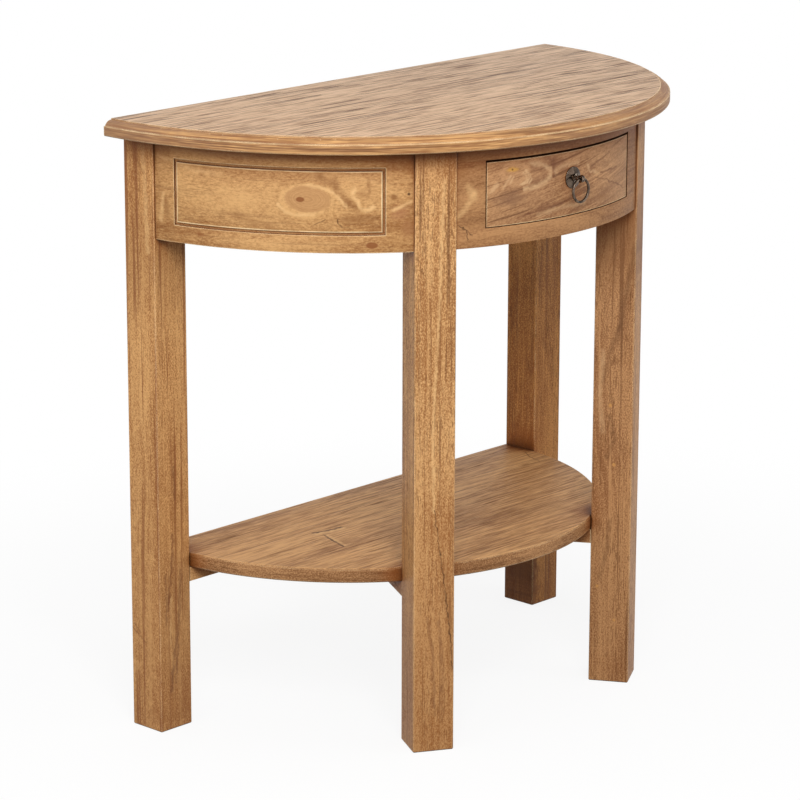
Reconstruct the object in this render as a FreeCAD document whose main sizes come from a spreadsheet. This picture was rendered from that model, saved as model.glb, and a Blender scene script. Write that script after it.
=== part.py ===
import FreeCAD, Part
import os
import re
import Sketcher

# Half-round side table with a bow-fronted drawer, a ring pull and a lower shelf.
# Frame: +Z up, +Y towards the straight back, origin on the floor below the middle of the top's box.
# Pieces are drawn about the upright axis of the round front, from the floor up, and then placed.

SIZES = (
    ("table_height", 758, "floor to the top surface"),
    ("top_radius", 400, "curved edge of the top"),
    ("arc_setback", 14, "axis of the round front, ahead of the straight back"),
    ("top_overhang", 28.8, "top's edge past the legs' outer corners"),
    # Moulded edge of the top
    ("band_height", 12, "upright band at the bottom of the moulding"),
    ("band_ease", 1.2, "chamfered lower edge of the band"),
    ("ledge_run", 1.8, "flat ledge above the band"),
    ("ovolo_run", 10, "width of the rounded part"),
    ("ovolo_drop", 6.5, "height of the rounded part"),
    ("top_step", 1.5, "upright step between the rounded part and the top surface"),
    # Legs
    ("leg_size", 50.8, "square section of a leg"),
    ("front_leg_angle", 30.25, "front legs' turn away from the middle, in degrees"),
    ("leg_ease", 1.5, "eased long edges"),
    ("foot_chamfer_share", 0.8, "foot's chamfer in the eased edges' radius"),
    # Aprons and front frame
    ("apron_height", 121, "height of the aprons"),
    ("apron_thick", 22, "thickness of the curved pieces"),
    ("apron_reveal", 2.7, "aprons' face behind the legs' outer corners"),
    ("lower_rail_height", 22, "rail below the drawer"),
    ("upper_rail_height", 18.5, "rail above the drawer"),
    ("stile_width", 34.25, "front leg to the drawer opening, across the table"),
    ("groove_front_margin", 33.8, "incised line to the front leg, along the curve"),
    ("groove_back_margin", 29, "incised line to the back leg, along the curve"),
    ("groove_edge_margin", 21, "incised line to the apron's upper or lower edge"),
    ("groove_width", 3.6, "width of the incised line"),
    ("groove_depth", 2, "depth of the incised line"),
    ("back_thick", 20, "thickness of the back apron"),
    ("back_inset", 6, "back apron's face in from the legs' back"),
    # Joinery
    ("tenon_length_share", 0.38, "depth of a tenon in a leg, in the leg's size"),
    ("tenon_thick", 8, "thickness of an apron's or rail's tenon"),
    ("tenon_shoulder", 14, "apron's edge to its tenon"),
    ("rail_shoulder", 4, "rail's edge to its tenon"),
    ("tenon_root", 6, "part of a straight tenon inside its curved board"),
    ("mortise_gap", 0.2, "glue gap round a tenon"),
    ("mortise_end_gap", 1.5, "glue gap at a tenon's end"),
    # Drawer
    ("drawer_gap_side", 1.8, "drawer front to stile"),
    ("drawer_gap_above", 2.8, "drawer front to upper rail"),
    ("drawer_gap_below", 1, "drawer front to lower rail"),
    ("drawer_inset", 0.6, "drawer front's face behind the aprons' face"),
    ("drawer_front_thick", 22, "thickness of the bow front"),
    ("front_corner_share", 0.55, "bow front left ahead of a side's end, in its thickness"),
    ("side_thick", 12, "thickness of the drawer's sides and back"),
    ("back_lowering", 8, "drawer back's upper edge below the sides'"),
    ("back_end_margin", 10, "drawer back to the sides' ends"),
    ("dado_depth", 4, "drawer back into the sides"),
    ("panel_rise", 10, "sides' lower edge to the bottom panel"),
    ("panel_thick", 6, "thickness of the bottom panel"),
    ("panel_groove", 5, "depth of the bottom panel's groove"),
    ("panel_gap", 0.2, "play of the bottom panel in its groove"),
    ("runner_gap", 0.3, "play between the drawer and its runners and stops"),
    # Runners, kickers and stops
    ("runner_width", 22, "bearing width of a runner, and width of a kicker"),
    ("runner_height", 18, "height of a runner below its bearing face"),
    ("guide_width", 8, "runner's guide beside the drawer"),
    ("guide_height", 22, "runner's guide above its bearing face"),
    ("guide_gap", 0.8, "guide to the drawer's side"),
    ("leg_notch_gap", 0.4, "runner or shelf to a leg that it is cut round"),
    ("stop_length", 18, "drawer's end to the back apron"),
    ("stop_height", 24, "height of a stop"),
    # Shelf and stretchers
    ("shelf_height", 219, "floor to the shelf's surface"),
    ("shelf_thick", 18, "thickness of the shelf"),
    ("shelf_seat", 0.6, "depth of the shelf's flat seat at a front leg"),
    ("shelf_ease", 1.5, "chamfered curved edge of the shelf"),
    ("stretcher_inset", 0.2, "flat stretcher's edge in from the side of its leg"),
    ("stretcher_thick", 18, "thickness of a flat stretcher"),
    ("flat_tenon_width", 30, "width of a stretcher's tenon"),
    ("flat_tenon_thick", 9, "thickness of a stretcher's tenon"),
    ("mitre_gap", 0.3, "front stretcher to the middle of the table"),
    # Glue blocks and wood screws
    ("block_length", 44, "glue block along its board"),
    ("block_depth", 24, "glue block away from its board"),
    ("block_height", 30, "height of a glue block"),
    ("back_block_share", 0.63, "glue block on the back apron, in the way to the leg"),
    ("screw_shank_radius", 2, "shank of a screw"),
    ("screw_head_radius", 4, "head of a screw"),
    ("screw_head_height", 2.4, "head of a screw"),
    ("screw_bite", 12, "depth of a screw in the top or the shelf"),
    ("screw_gap", 0.15, "play round a screw"),
    ("sink_depth", 5, "sunk hole for a screw's head"),
    ("sink_gap", 0.6, "play round a sunk head"),
    ("kicker_rear_share", 0.16, "kicker's rear screw, in the front frame's inner radius"),
    ("kicker_front_share", 0.77, "kicker's front screw, in the front frame's inner radius"),
    ("stretcher_inner_share", 0.36, "front stretcher's inner screw, in the way to the leg"),
    ("stretcher_outer_share", 0.9, "front stretcher's outer screw, in the way to the leg"),
    ("stretcher_back_share", 0.7, "back stretcher's screw, in the way to the leg"),
    # Ring pull
    ("pull_height_share", 0.565, "middle of the pull, in the drawer opening's height"),
    ("pull_reach", 13, "drawer front's face to the eye"),
    ("plate_radius", 13, "round backplate"),
    ("plate_thick", 3.2, "backplate at its middle"),
    ("plate_rim", 1, "backplate at its rim"),
    ("collar_radius", 5, "collar of the post, on the backplate"),
    ("collar_height", 2.5, "collar of the post"),
    ("neck_radius", 3, "post between collar and eye"),
    ("eye_radius", 4.6, "round head of the post"),
    ("eye_thick", 4.2, "head between its two flats"),
    ("eye_clearance", 0.5, "eye to the ring's wire"),
    ("shank_radius", 2.5, "post through the drawer front"),
    ("shank_gap", 0.15, "play round the shank"),
    ("shank_tail", 2, "shank past its nut"),
    ("washer_radius", 6, "washer inside the drawer"),
    ("washer_thick", 1.2, "washer inside the drawer"),
    ("nut_radius", 4.6, "hexagon nut over its corners"),
    ("nut_thick", 4, "hexagon nut"),
    ("ring_radius", 13.9, "ring at the middle of its wire"),
    ("wire_radius", 1.7, "wire of the ring"),
    # Drawing aid
    ("overrun", 5, "cuts run past the wood by this"),
)

# Sizes and places that follow from the driving ones
DERIVED = {
    "axis_y": "(top_radius - arc_setback) / 2",
    "degree": "180 / pi",
    "top_thick": "band_height + ovolo_drop + top_step",
    "leg_height": "table_height - top_thick",
    "leg_half": "leg_size / 2",
    "foot_chamfer": "leg_ease * foot_chamfer_share",
    "frame_radius": "top_radius - top_overhang",
    "leg_outer": "sqrt(frame_radius ^ 2 - leg_half ^ 2)",
    "leg_inner": "leg_outer - leg_size",
    "back_leg_front": "arc_setback - leg_size",
    "back_leg_outer": "sqrt(frame_radius ^ 2 - back_leg_front ^ 2)",
    "back_leg_inner": "back_leg_outer - leg_size",
    "apron_face": "frame_radius - apron_reveal",
    "apron_inner": "apron_face - apron_thick",
    "apron_middle": "apron_face - apron_thick / 2",
    "apron_low": "leg_height - apron_height",
    "apron_turn": "(front_leg_angle + 90) / 2",
    "opening_low": "apron_low + lower_rail_height",
    "opening_high": "leg_height - upper_rail_height",
    "stile_reach": "sqrt(apron_face ^ 2 - leg_half ^ 2)",
    "stile_edge": "stile_reach * sin(front_leg_angle) - leg_half * cos(front_leg_angle)",
    "opening_half": "stile_edge - stile_width",
    "back_face": "arc_setback - back_inset - back_thick",
    "back_middle": "back_face + back_thick / 2",
    "side_tenon_x": "sqrt(apron_middle ^ 2 - back_leg_front ^ 2)",
    "tenon_length": "leg_size * tenon_length_share",
    "mortise_length": "tenon_length + mortise_end_gap",
    "mortise_half": "tenon_thick / 2 + mortise_gap",
    "drawer_half": "opening_half - drawer_gap_side",
    "drawer_inside": "drawer_half - side_thick",
    "drawer_face": "apron_face - drawer_inset",
    "drawer_front_inner": "drawer_face - drawer_front_thick",
    "drawer_low": "opening_low + runner_gap",
    "drawer_high": "opening_high - drawer_gap_above",
    "drawer_end": "back_face - stop_length - runner_gap",
    "rebate_y": "drawer_front_thick * front_corner_share - sqrt(drawer_face ^ 2 - drawer_half ^ 2)",
    "drawer_back_rear": "drawer_end - back_end_margin",
    "panel_low": "drawer_low + panel_rise",
    "panel_high": "panel_low + panel_thick",
    "guide_inner": "drawer_half + guide_gap",
    "guide_outer": "guide_inner + guide_width",
    "runner_inner": "guide_inner - runner_width",
    "kicker_x": "guide_inner - runner_width / 2",
    "shelf_low": "shelf_height - shelf_thick",
    "shelf_radius": "leg_inner + shelf_seat",
    "stretcher_low": "shelf_low - stretcher_thick",
    "stretcher_middle": "shelf_low - stretcher_thick / 2",
    "stretcher_half": "leg_half - stretcher_inset",
    "back_stretcher_y": "arc_setback - leg_half",
    "back_stretcher_front": "back_stretcher_y - stretcher_half",
    "block_low": "leg_height - block_height",
    "back_block_x": "back_leg_inner * back_block_share",
    "screw_hole_radius": "screw_shank_radius + screw_gap",
    "pull_z": "opening_low + (opening_high - opening_low) * pull_height_share",
    "eye_hole_radius": "wire_radius + eye_clearance",
    "shank_hole_radius": "shank_radius + shank_gap",
    "washer_sag": "drawer_front_inner - sqrt(drawer_front_inner ^ 2 - washer_radius ^ 2)",
    "washer_high": "-(drawer_front_thick + washer_sag)",
    "washer_low": "washer_high - washer_thick",
    "nut_low": "washer_low - nut_thick",
}

DRIVING = {name for name, _, _ in SIZES}
UP = FreeCAD.Vector(0, 0, 1)
ACROSS = FreeCAD.Vector(1, 0, 0)
BACKWARD = FreeCAD.Vector(0, 1, 0)
SKETCH_ORIGIN = (-1, 1)
SCREW_SIDES = 8
NUT_SIDES = 6
WIRE_SIDES = 12

doc = FreeCAD.newDocument("half_round_table")
sheet = doc.addObject("Spreadsheet::Sheet", "sizes")
nodes = []


def fill_sheet():
    """One row per driving dimension: its value, with an alias, and what it is."""
    for row, (name, value, meaning) in enumerate(SIZES, start=1):
        sheet.set(f"A{row}", str(value))
        sheet.setAlias(f"A{row}", name)
        sheet.set(f"B{row}", meaning)
    doc.recompute()


def expand(text):
    """Write an expression in terms of the sheet's cells."""

    def swap(match):
        word = match.group(0)
        if word in DERIVED:
            return f"({expand(DERIVED[word])})"
        return f"sizes.{word}" if word in DRIVING else word

    return re.sub("[a-z_]+", swap, text)


def number(text):
    """Present value of an expression."""
    return float(sheet.evalExpression(expand(text)))


def bind(item, **expressions):
    for name, text in expressions.items():
        item.setExpression(name, expand(text))
    return item


def place(item, x="0", y="0", z="0", turn=None):
    """Bind an object's place and, where it has one, its turn about the vertical axis."""
    for letter, text in (("x", x), ("y", y), ("z", z)):
        item.setExpression(f"Placement.Base.{letter}", expand(text))
    if turn is not None:
        item.setExpression("Placement.Rotation.Angle", expand(turn))
    return item


def lay_along(item, axis):
    """Turn an upright solid a quarter turn about an axis."""
    item.Placement = FreeCAD.Placement(FreeCAD.Vector(), FreeCAD.Rotation(axis, 90))
    return item


def across(half):
    """Limits at equal distances on both sides of the middle."""
    return f"-({half})", half


def about(middle, half):
    """Limits at equal distances from a place."""
    return f"{middle} - ({half})", f"{middle} + ({half})"


def past(limits):
    """Limits moved apart by the overrun of a cut."""
    return f"{limits[0]} - overrun", f"{limits[1]} + overrun"


def block(xs, ys, zs, turn=None):
    """Box between pairs of limits, in a frame that may be turned about the vertical axis."""
    item = doc.addObject("Part::Box", "block")
    length, width, height = [f"({high}) - ({low})" for low, high in (xs, ys, zs)]
    bind(item, Length=length, Width=width, Height=height)
    if turn is None:
        return place(item, xs[0], ys[0], zs[0])
    x = f"({xs[0]}) * cos({turn}) - ({ys[0]}) * sin({turn})"
    y = f"({xs[0]}) * sin({turn}) + ({ys[0]}) * cos({turn})"
    return place(item, x, y, zs[0], turn)


def disc(radius, zs, x="0", y="0"):
    """Upright cylinder between two heights."""
    item = doc.addObject("Part::Cylinder", "disc")
    bind(item, Radius=radius, Height=f"({zs[1]}) - ({zs[0]})")
    return place(item, x, y, zs[0])


def prism(radius, zs, x="0", y="0", sides=SCREW_SIDES):
    """Upright prism between two heights, for small pieces that repeat."""
    item = doc.addObject("Part::Prism", "prism")
    item.Polygon = sides
    bind(item, Circumradius=radius, Height=f"({zs[1]}) - ({zs[0]})")
    return place(item, x, y, zs[0])


def wedge(radius, zs, start, span):
    """Sector of an upright cylinder, counter-clockwise from a bearing that +X has as 0."""
    return place(bind(disc(radius, zs), Angle=span), z=zs[0], turn=start)


def cut(base, *tools):
    item = doc.addObject("Part::Cut", "cut")
    item.Base = base
    item.Tool = tools[0] if len(tools) == 1 else join(*tools)
    return item


def join(*items):
    item = doc.addObject("Part::MultiFuse", "join")
    item.Shapes = list(items)
    item.Refine = True
    return item


def overlap(*items):
    item = doc.addObject("Part::MultiCommon", "overlap")
    item.Shapes = list(items)
    return item


def mirror(item):
    """The same solid on the table's other side."""
    twin = doc.addObject("Part::Mirroring", "twin")
    twin.Source = item
    twin.Normal = ACROSS
    return twin


def on_axis(item, turn=None):
    """Set a piece that is drawn about the axis of the round front where that axis stands."""
    return place(item, y="axis_y", turn=turn)


def from_axis(limits):
    """Limits of a plain block, which is placed by its own corner, from the table's origin."""
    return tuple(f"axis_y + {limit}" for limit in limits)


def node(item, label):
    """Name a finished piece."""
    item.Label = label
    nodes.append(item)
    return item


def pair(item, stem):
    """A finished piece of the table's right side, and its twin on the left."""
    node(item, f"{stem}_right")
    node(mirror(item), f"{stem}_left")


def new_body(plane):
    """Body with an empty sketch on one of its own origin planes."""
    body = doc.addObject("PartDesign::Body", "body")
    sketch = body.newObject("Sketcher::SketchObject", "outline")
    sketch.AttachmentSupport = [(item, "") for item in body.Origin.OriginFeatures if item.Role == plane]
    sketch.MapMode = "FlatFace"
    return body, sketch


def pin(sketch, edge, point, x, y=None):
    """Bind a point of a sketch, measured from the sketch's origin."""
    for kind, text in (("DistanceX", x), ("DistanceY", y)):
        if text is not None:
            limit = Sketcher.Constraint(kind, *SKETCH_ORIGIN, edge, point, number(text))
            sketch.setExpression(f"Constraints[{sketch.addConstraint(limit)}]", expand(text))


def outline(sketch, corners, arcs):
    """Closed outline through corners. Arcs go counter-clockwise from the corner that names their centre."""
    points = [FreeCAD.Vector(number(x), number(y), 0) for x, y in corners]
    count = len(points)
    for edge, (start, end) in enumerate(zip(points, points[1:] + points[:1])):
        curve = Part.LineSegment(start, end)
        if edge in arcs:
            centre = FreeCAD.Vector(*[number(text) for text in arcs[edge]], 0)
            circle = Part.Circle(centre, UP, (start - centre).Length)
            curve = Part.ArcOfCircle(circle, circle.parameter(start), circle.parameter(end))
        sketch.addGeometry(curve)
    for edge in range(count):
        sketch.addConstraint(Sketcher.Constraint("Coincident", edge, 2, (edge + 1) % count, 1))
        pin(sketch, edge, 1, *corners[edge])
    for edge, (x, _) in arcs.items():
        pin(sketch, edge, 3, x)


def extruded(corners, height):
    """Body of an outline on the floor, extruded upwards."""
    body, sketch = new_body("XY_Plane")
    outline(sketch, corners, {})
    pad = body.newObject("PartDesign::Pad", "pad")
    pad.Profile = sketch
    bind(pad, Length=height)
    doc.recompute()
    return body


def revolved(corners, arcs):
    """Body of a half section, turned about the vertical axis."""
    body, sketch = new_body("XZ_Plane")
    outline(sketch, corners, arcs)
    turned = body.newObject("PartDesign::Revolution", "turned")
    turned.Profile = sketch
    turned.ReferenceAxis = (sketch, ["V_Axis"])
    turned.Angle = 360
    doc.recompute()
    return body


def dress(body, kind, wanted, **sizes):
    """Fillet or chamfer the edges of a body that a test picks."""
    base = body.Tip
    names = [f"Edge{index}" for index, edge in enumerate(base.Shape.Edges, start=1) if wanted(edge.BoundBox)]
    feature = body.newObject(f"PartDesign::{kind}", kind.lower())
    feature.Base = (base, names)
    bind(feature, **sizes)
    body.Tip = feature
    doc.recompute()


def is_upright(box):
    return box.ZLength > max(box.XLength, box.YLength)


def is_at_foot(box):
    return box.ZMax < number("foot_chamfer")


def ray(reach, turn):
    """Point at a distance from the axis, on a bearing from the middle of the front to the right."""
    return f"({reach}) * sin({turn})", f"-({reach}) * cos({turn})"


def screw_spots():
    """Place of each right-hand screw, with the underside and the thickness of what it holds."""
    glue_block = ("block_low", "block_height")
    kicker = ("opening_high", "upper_rail_height")
    stretcher = ("stretcher_low", "stretcher_thick")
    top = {
        "back_block": ("back_block_x", "back_face - block_depth / 2", *glue_block),
        "side_block": (*ray("apron_inner - block_depth / 2", "apron_turn"), *glue_block),
        "kicker_rear": ("kicker_x", "-apron_inner * kicker_rear_share", *kicker),
        "kicker_front": ("kicker_x", "-apron_inner * kicker_front_share", *kicker),
    }
    shelf = {
        "back": ("back_leg_inner * stretcher_back_share", "back_stretcher_y", *stretcher),
        "inner": (*ray("leg_inner * stretcher_inner_share", "front_leg_angle"), *stretcher),
        "outer": (*ray("leg_inner * stretcher_outer_share", "front_leg_angle"), *stretcher),
    }
    return top, shelf


def screw(x, y, low, thick):
    """Wood screw with its head sunk in the underside of what it holds."""
    seat = f"{low} + sink_depth"
    head = prism("screw_head_radius", (f"{seat} - screw_head_height", seat), x, y)
    return join(head, prism("screw_shank_radius", (seat, f"{low} + {thick} + screw_bite"), x, y))


def sunk_hole(x, y, low, thick):
    """Hole for a screw through what it holds, widened for the head."""
    sink = prism("screw_head_radius + sink_gap", (f"{low} - overrun", f"{low} + sink_depth"), x, y)
    return join(sink, prism("screw_hole_radius", (low, f"{low} + {thick} + overrun"), x, y))


def pilot_holes(spots):
    """Holes on both sides for the screws' ends, in the board above what they hold."""
    holes = []
    for x, y, low, thick in spots.values():
        surface = f"{low} + {thick}"
        zs = (f"{surface} - overrun", f"{surface} + screw_bite + screw_gap")
        holes += [prism("screw_hole_radius", zs, side, y) for side in across(x)]
    return holes


def screws():
    for stem, spots in zip(("top_screw", "shelf_screw"), screw_spots()):
        for name, spot in spots.items():
            pair(on_axis(screw(*spot)), f"{stem}_{name}")


def table_top():
    """Half-round top: its moulded section is turned about the axis and cut straight at the back."""
    ovolo_foot, ovolo_head = "top_radius - ledge_run", "top_radius - ledge_run - ovolo_run"
    ovolo_low, ovolo_high = "leg_height + band_height", "leg_height + band_height + ovolo_drop"
    ovolo_radius = "(ovolo_run ^ 2 + ovolo_drop ^ 2) / (2 * ovolo_drop)"
    section = [
        ("0", "leg_height"),
        ("top_radius - band_ease", "leg_height"),
        ("top_radius", "leg_height + band_ease"),
        ("top_radius", ovolo_low),
        (ovolo_foot, ovolo_low),
        (ovolo_head, ovolo_high),
        (ovolo_head, "table_height"),
        ("0", "table_height"),
    ]
    rounding = {4: (ovolo_head, f"{ovolo_high} - {ovolo_radius}")}
    behind = block(past(across("top_radius")), ("arc_setback", "top_radius + overrun"),
                   past(("leg_height", "table_height")))
    top = cut(revolved(section, rounding), behind, *pilot_holes(screw_spots()[0]))
    node(on_axis(top), "table_top")


def leg_blank(xs, ys):
    """Square leg with eased long edges and a chamfered foot."""
    (left, right), (front, back) = xs, ys
    body = extruded([(left, front), (right, front), (right, back), (left, back)], "leg_height")
    dress(body, "Fillet", is_upright, Radius="leg_ease")
    dress(body, "Chamfer", is_at_foot, Size="foot_chamfer")
    return body


def mortise_heights(low, high, shoulder):
    return f"{low} + {shoulder} - mortise_gap", f"{high} - {shoulder} + mortise_gap"


def flat_mortise(middle):
    """Width and height limits of the mortise for a flat stretcher."""
    return (about(middle, "flat_tenon_width / 2 + mortise_gap"),
            about("stretcher_middle", "flat_tenon_thick / 2 + mortise_gap"))


def back_legs():
    """Legs at the ends of the straight back, mortised for a side apron, the back apron and a stretcher."""
    blank = leg_blank(("back_leg_inner", "back_leg_outer"), ("back_leg_front", "arc_setback"))
    apron_zs = mortise_heights("apron_low", "leg_height", "tenon_shoulder")
    inward = ("back_leg_inner - overrun", "back_leg_inner + mortise_length")
    side = block(about("side_tenon_x", "mortise_half"),
                 ("back_leg_front - overrun", "back_leg_front + mortise_length"), apron_zs)
    back = block(inward, about("back_middle", "mortise_half"), apron_zs)
    stretcher = block(inward, *flat_mortise("back_stretcher_y"))
    pair(on_axis(cut(blank, side, back, stretcher)), "leg_back")


def front_legs():
    """Legs turned to face outwards, mortised for a side apron, both rails and a stretcher."""
    blank = leg_blank(across("leg_half"), ("-leg_outer", "-leg_inner"))
    ys = about("-apron_middle", "mortise_half")
    rail_xs = ("-leg_half - overrun", "-leg_half + mortise_length")
    apron = block(("leg_half - mortise_length", "leg_half + overrun"), ys,
                  mortise_heights("apron_low", "leg_height", "tenon_shoulder"))
    lower = block(rail_xs, ys, mortise_heights("apron_low", "opening_low", "rail_shoulder"))
    upper = block(rail_xs, ys, mortise_heights("opening_high", "leg_height", "rail_shoulder"))
    width, height = flat_mortise("0")
    stretcher = block(width, ("-leg_inner - mortise_length", "-leg_inner + overrun"), height)
    leg = cut(blank, apron, lower, upper, stretcher)
    pair(on_axis(leg, turn="front_leg_angle"), "leg_front")


def curved_board(face, inner, zs, start, span):
    """Stretch of a curved wall about the axis."""
    return cut(wedge(face, zs, start, span), disc(inner, past(zs)))


def front_leg_space(xs, zs, gap="0"):
    """Room that a front leg takes, over a part of its width."""
    ys = ("-(frame_radius + overrun)", f"-(leg_inner - {gap})")
    return block(xs, ys, past(zs), "front_leg_angle")


def front_tenon(xs, zs, shoulder):
    """Straight tenon of a curved board into a front leg."""
    heights = (f"{zs[0]} + {shoulder}", f"{zs[1]} - {shoulder}")
    return block(xs, about("-apron_middle", "tenon_thick / 2"), heights, "front_leg_angle")


def incised_frame():
    """Line cut into the side apron's face, in a rectangle that follows the curve."""
    line = "groove_width / apron_face * degree"
    start = "front_leg_angle - 90 + (leg_half + groove_front_margin) / apron_face * degree"
    span = f"(back_leg_front - groove_back_margin) / apron_face * degree - ({start})"
    low, high = "apron_low + groove_edge_margin", "leg_height - groove_edge_margin"
    outer = wedge("apron_face + overrun", (low, high), start, span)
    inner = wedge("apron_face + 2 * overrun", (f"{low} + groove_width", f"{high} - groove_width"),
                  f"{start} + {line}", f"{span} - 2 * {line}")
    return cut(outer, inner, disc("apron_face - groove_depth", ("apron_low", "leg_height")))


def side_aprons():
    """Curved boards between the back and front legs, tenoned at both ends."""
    zs = ("apron_low", "leg_height")
    board = curved_board("apron_face", "apron_inner", zs, "front_leg_angle - 90", "90 - front_leg_angle")
    behind = block(("0", "frame_radius + overrun"), ("back_leg_front", "overrun"), past(zs))
    shaped = cut(board, behind, front_leg_space(("-overrun", "leg_half"), zs), incised_frame())
    front = front_tenon(("leg_half - tenon_length", "leg_half + tenon_root"), zs, "tenon_shoulder")
    back = block(about("side_tenon_x", "tenon_thick / 2"),
                 ("back_leg_front - tenon_root", "back_leg_front + tenon_length"),
                 ("apron_low + tenon_shoulder", "leg_height - tenon_shoulder"))
    pair(on_axis(join(shaped, front, back)), "apron")


def back_apron():
    """Straight board between the back legs, tenoned at both ends."""
    ys, zs = ("back_face", "back_face + back_thick"), ("apron_low", "leg_height")
    board = block(across("back_leg_inner"), ys, zs)
    tenons = block(across("back_leg_inner + tenon_length"), about("back_middle", "tenon_thick / 2"),
                   ("apron_low + tenon_shoulder", "leg_height - tenon_shoulder"))
    node(on_axis(join(board, tenons)), "apron_back")


def drawer_rails():
    """Curved rails below and above the drawer, tenoned into the front legs."""
    for label, zs in (("drawer_rail_lower", ("apron_low", "opening_low")),
                      ("drawer_rail_upper", ("opening_high", "leg_height"))):
        half = curved_board("apron_face", "apron_inner", zs, "-90", "front_leg_angle")
        shaped = cut(half, front_leg_space(("-leg_half", "overrun"), zs))
        tenon = front_tenon(("-leg_half - tenon_root", "-leg_half + tenon_length"), zs, "rail_shoulder")
        right = join(shaped, tenon)
        node(on_axis(join(right, mirror(right))), label)


def front_stiles():
    """Curved pieces that close the front between the drawer opening and the legs."""
    zs = ("opening_low", "opening_high")
    board = curved_board("apron_face", "apron_inner", zs, "-90", "front_leg_angle")
    opening = block(("-overrun", "opening_half"), ("-(frame_radius + overrun)", "0"), past(zs))
    stile = cut(board, opening, front_leg_space(("-leg_half", "overrun"), zs))
    pair(on_axis(stile), "front_stile")


def drawer_runners():
    """Strips from the front frame to the back apron, with a bearing face and a guide beside the drawer."""
    ys, zs = ("-apron_inner", "back_face"), ("opening_low - runner_height", "opening_low + guide_height")
    bearer = block(("runner_inner", "guide_outer"), ys, ("opening_low - runner_height", "opening_low"))
    guide = block(("guide_inner", "guide_outer"), ys, ("opening_low", "opening_low + guide_height"))
    strip = overlap(join(bearer, guide), disc("apron_inner", zs))
    leg = front_leg_space(("-leg_half - leg_notch_gap", "leg_half"), zs, "leg_notch_gap")
    pair(on_axis(cut(strip, leg)), "drawer_runner")


def drawer_kickers():
    """Strips under the top that keep an open drawer level."""
    zs = ("opening_high", "leg_height")
    strip = block(("runner_inner", "guide_inner"), ("-apron_inner", "back_face"), zs)
    top, _ = screw_spots()
    holes = [sunk_hole(*top[name]) for name in ("kicker_rear", "kicker_front")]
    kicker = cut(overlap(strip, disc("apron_inner", zs)), *holes)
    pair(on_axis(kicker), "drawer_kicker")


def drawer_stops():
    """Blocks on the runners that the closed drawer's sides meet."""
    stop = block(("drawer_inside", "guide_inner"), from_axis(("back_face - stop_length", "back_face")),
                 ("opening_low", "opening_low + stop_height"))
    pair(stop, "drawer_stop")


def glue_blocks():
    """Blocks on the back and side aprons that the top is screwed to."""
    zs, half = ("block_low", "leg_height"), "block_length / 2"
    top, _ = screw_spots()
    back = block(about("back_block_x", half), ("back_face - block_depth", "back_face"), zs)
    side = block(across(half), ("-apron_inner", "-apron_inner + block_depth"), zs, "apron_turn")
    pair(on_axis(cut(back, sunk_hole(*top["back_block"]))), "glue_block_back")
    fitted = overlap(side, disc("apron_inner", past(zs)))
    pair(on_axis(cut(fitted, sunk_hole(*top["side_block"]))), "glue_block_side")


def shelf():
    """Half-round shelf with a chamfered edge, cut round the back legs and seated flat on the front ones."""
    zs = ("shelf_low", "shelf_height")
    inner = "shelf_radius - shelf_ease"
    section = [
        ("0", "shelf_low"),
        (inner, "shelf_low"),
        ("shelf_radius", "shelf_low + shelf_ease"),
        ("shelf_radius", "shelf_height - shelf_ease"),
        (inner, "shelf_height"),
        ("0", "shelf_height"),
    ]
    board = revolved(section, {})
    reach = "shelf_radius + overrun"
    behind = block(across(reach), ("arc_setback", reach), past(zs))
    notch_xs = ("back_leg_inner - leg_notch_gap", reach)
    notch = block(notch_xs, ("back_leg_front - leg_notch_gap", reach), past(zs))
    seat = front_leg_space(across("leg_size"), zs)
    tools = [behind, notch, mirror(notch), seat, mirror(seat)]
    node(on_axis(cut(board, *tools, *pilot_holes(screw_spots()[1]))), "shelf")


def back_stretcher():
    """Flat bar under the shelf, tenoned into the back legs."""
    _, spots = screw_spots()
    ys, zs = about("back_stretcher_y", "stretcher_half"), ("stretcher_low", "shelf_low")
    bar = block(across("back_leg_inner"), ys, zs)
    tenons = block(across("back_leg_inner + tenon_length"), about("back_stretcher_y", "flat_tenon_width / 2"),
                   about("stretcher_middle", "flat_tenon_thick / 2"))
    hole = sunk_hole(*spots["back"])
    node(on_axis(cut(join(bar, tenons), hole, mirror(hole))), "shelf_stretcher_back")


def front_stretchers():
    """Flat bars from the front legs to the middle of the back one, mitred where they meet."""
    _, spots = screw_spots()
    zs = ("stretcher_low", "shelf_low")
    bar = block(across("stretcher_half"), ("-leg_inner", "0"), zs, "front_leg_angle")
    tenon = block(across("flat_tenon_width / 2"), ("-leg_inner - tenon_length", "-leg_inner + tenon_root"),
                  about("stretcher_middle", "flat_tenon_thick / 2"), "front_leg_angle")
    behind = block(across("frame_radius"), ("back_stretcher_front", "frame_radius"), past(zs))
    beyond = block(("-frame_radius", "mitre_gap"), across("frame_radius"), past(zs))
    holes = [sunk_hole(*spots[name]) for name in ("inner", "outer")]
    pair(on_axis(cut(join(bar, tenon), behind, beyond, *holes)), "shelf_stretcher")


def panel_slot():
    """Heights of the groove for the drawer's bottom panel."""
    return "panel_low - panel_gap", "panel_high + panel_gap"


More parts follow.
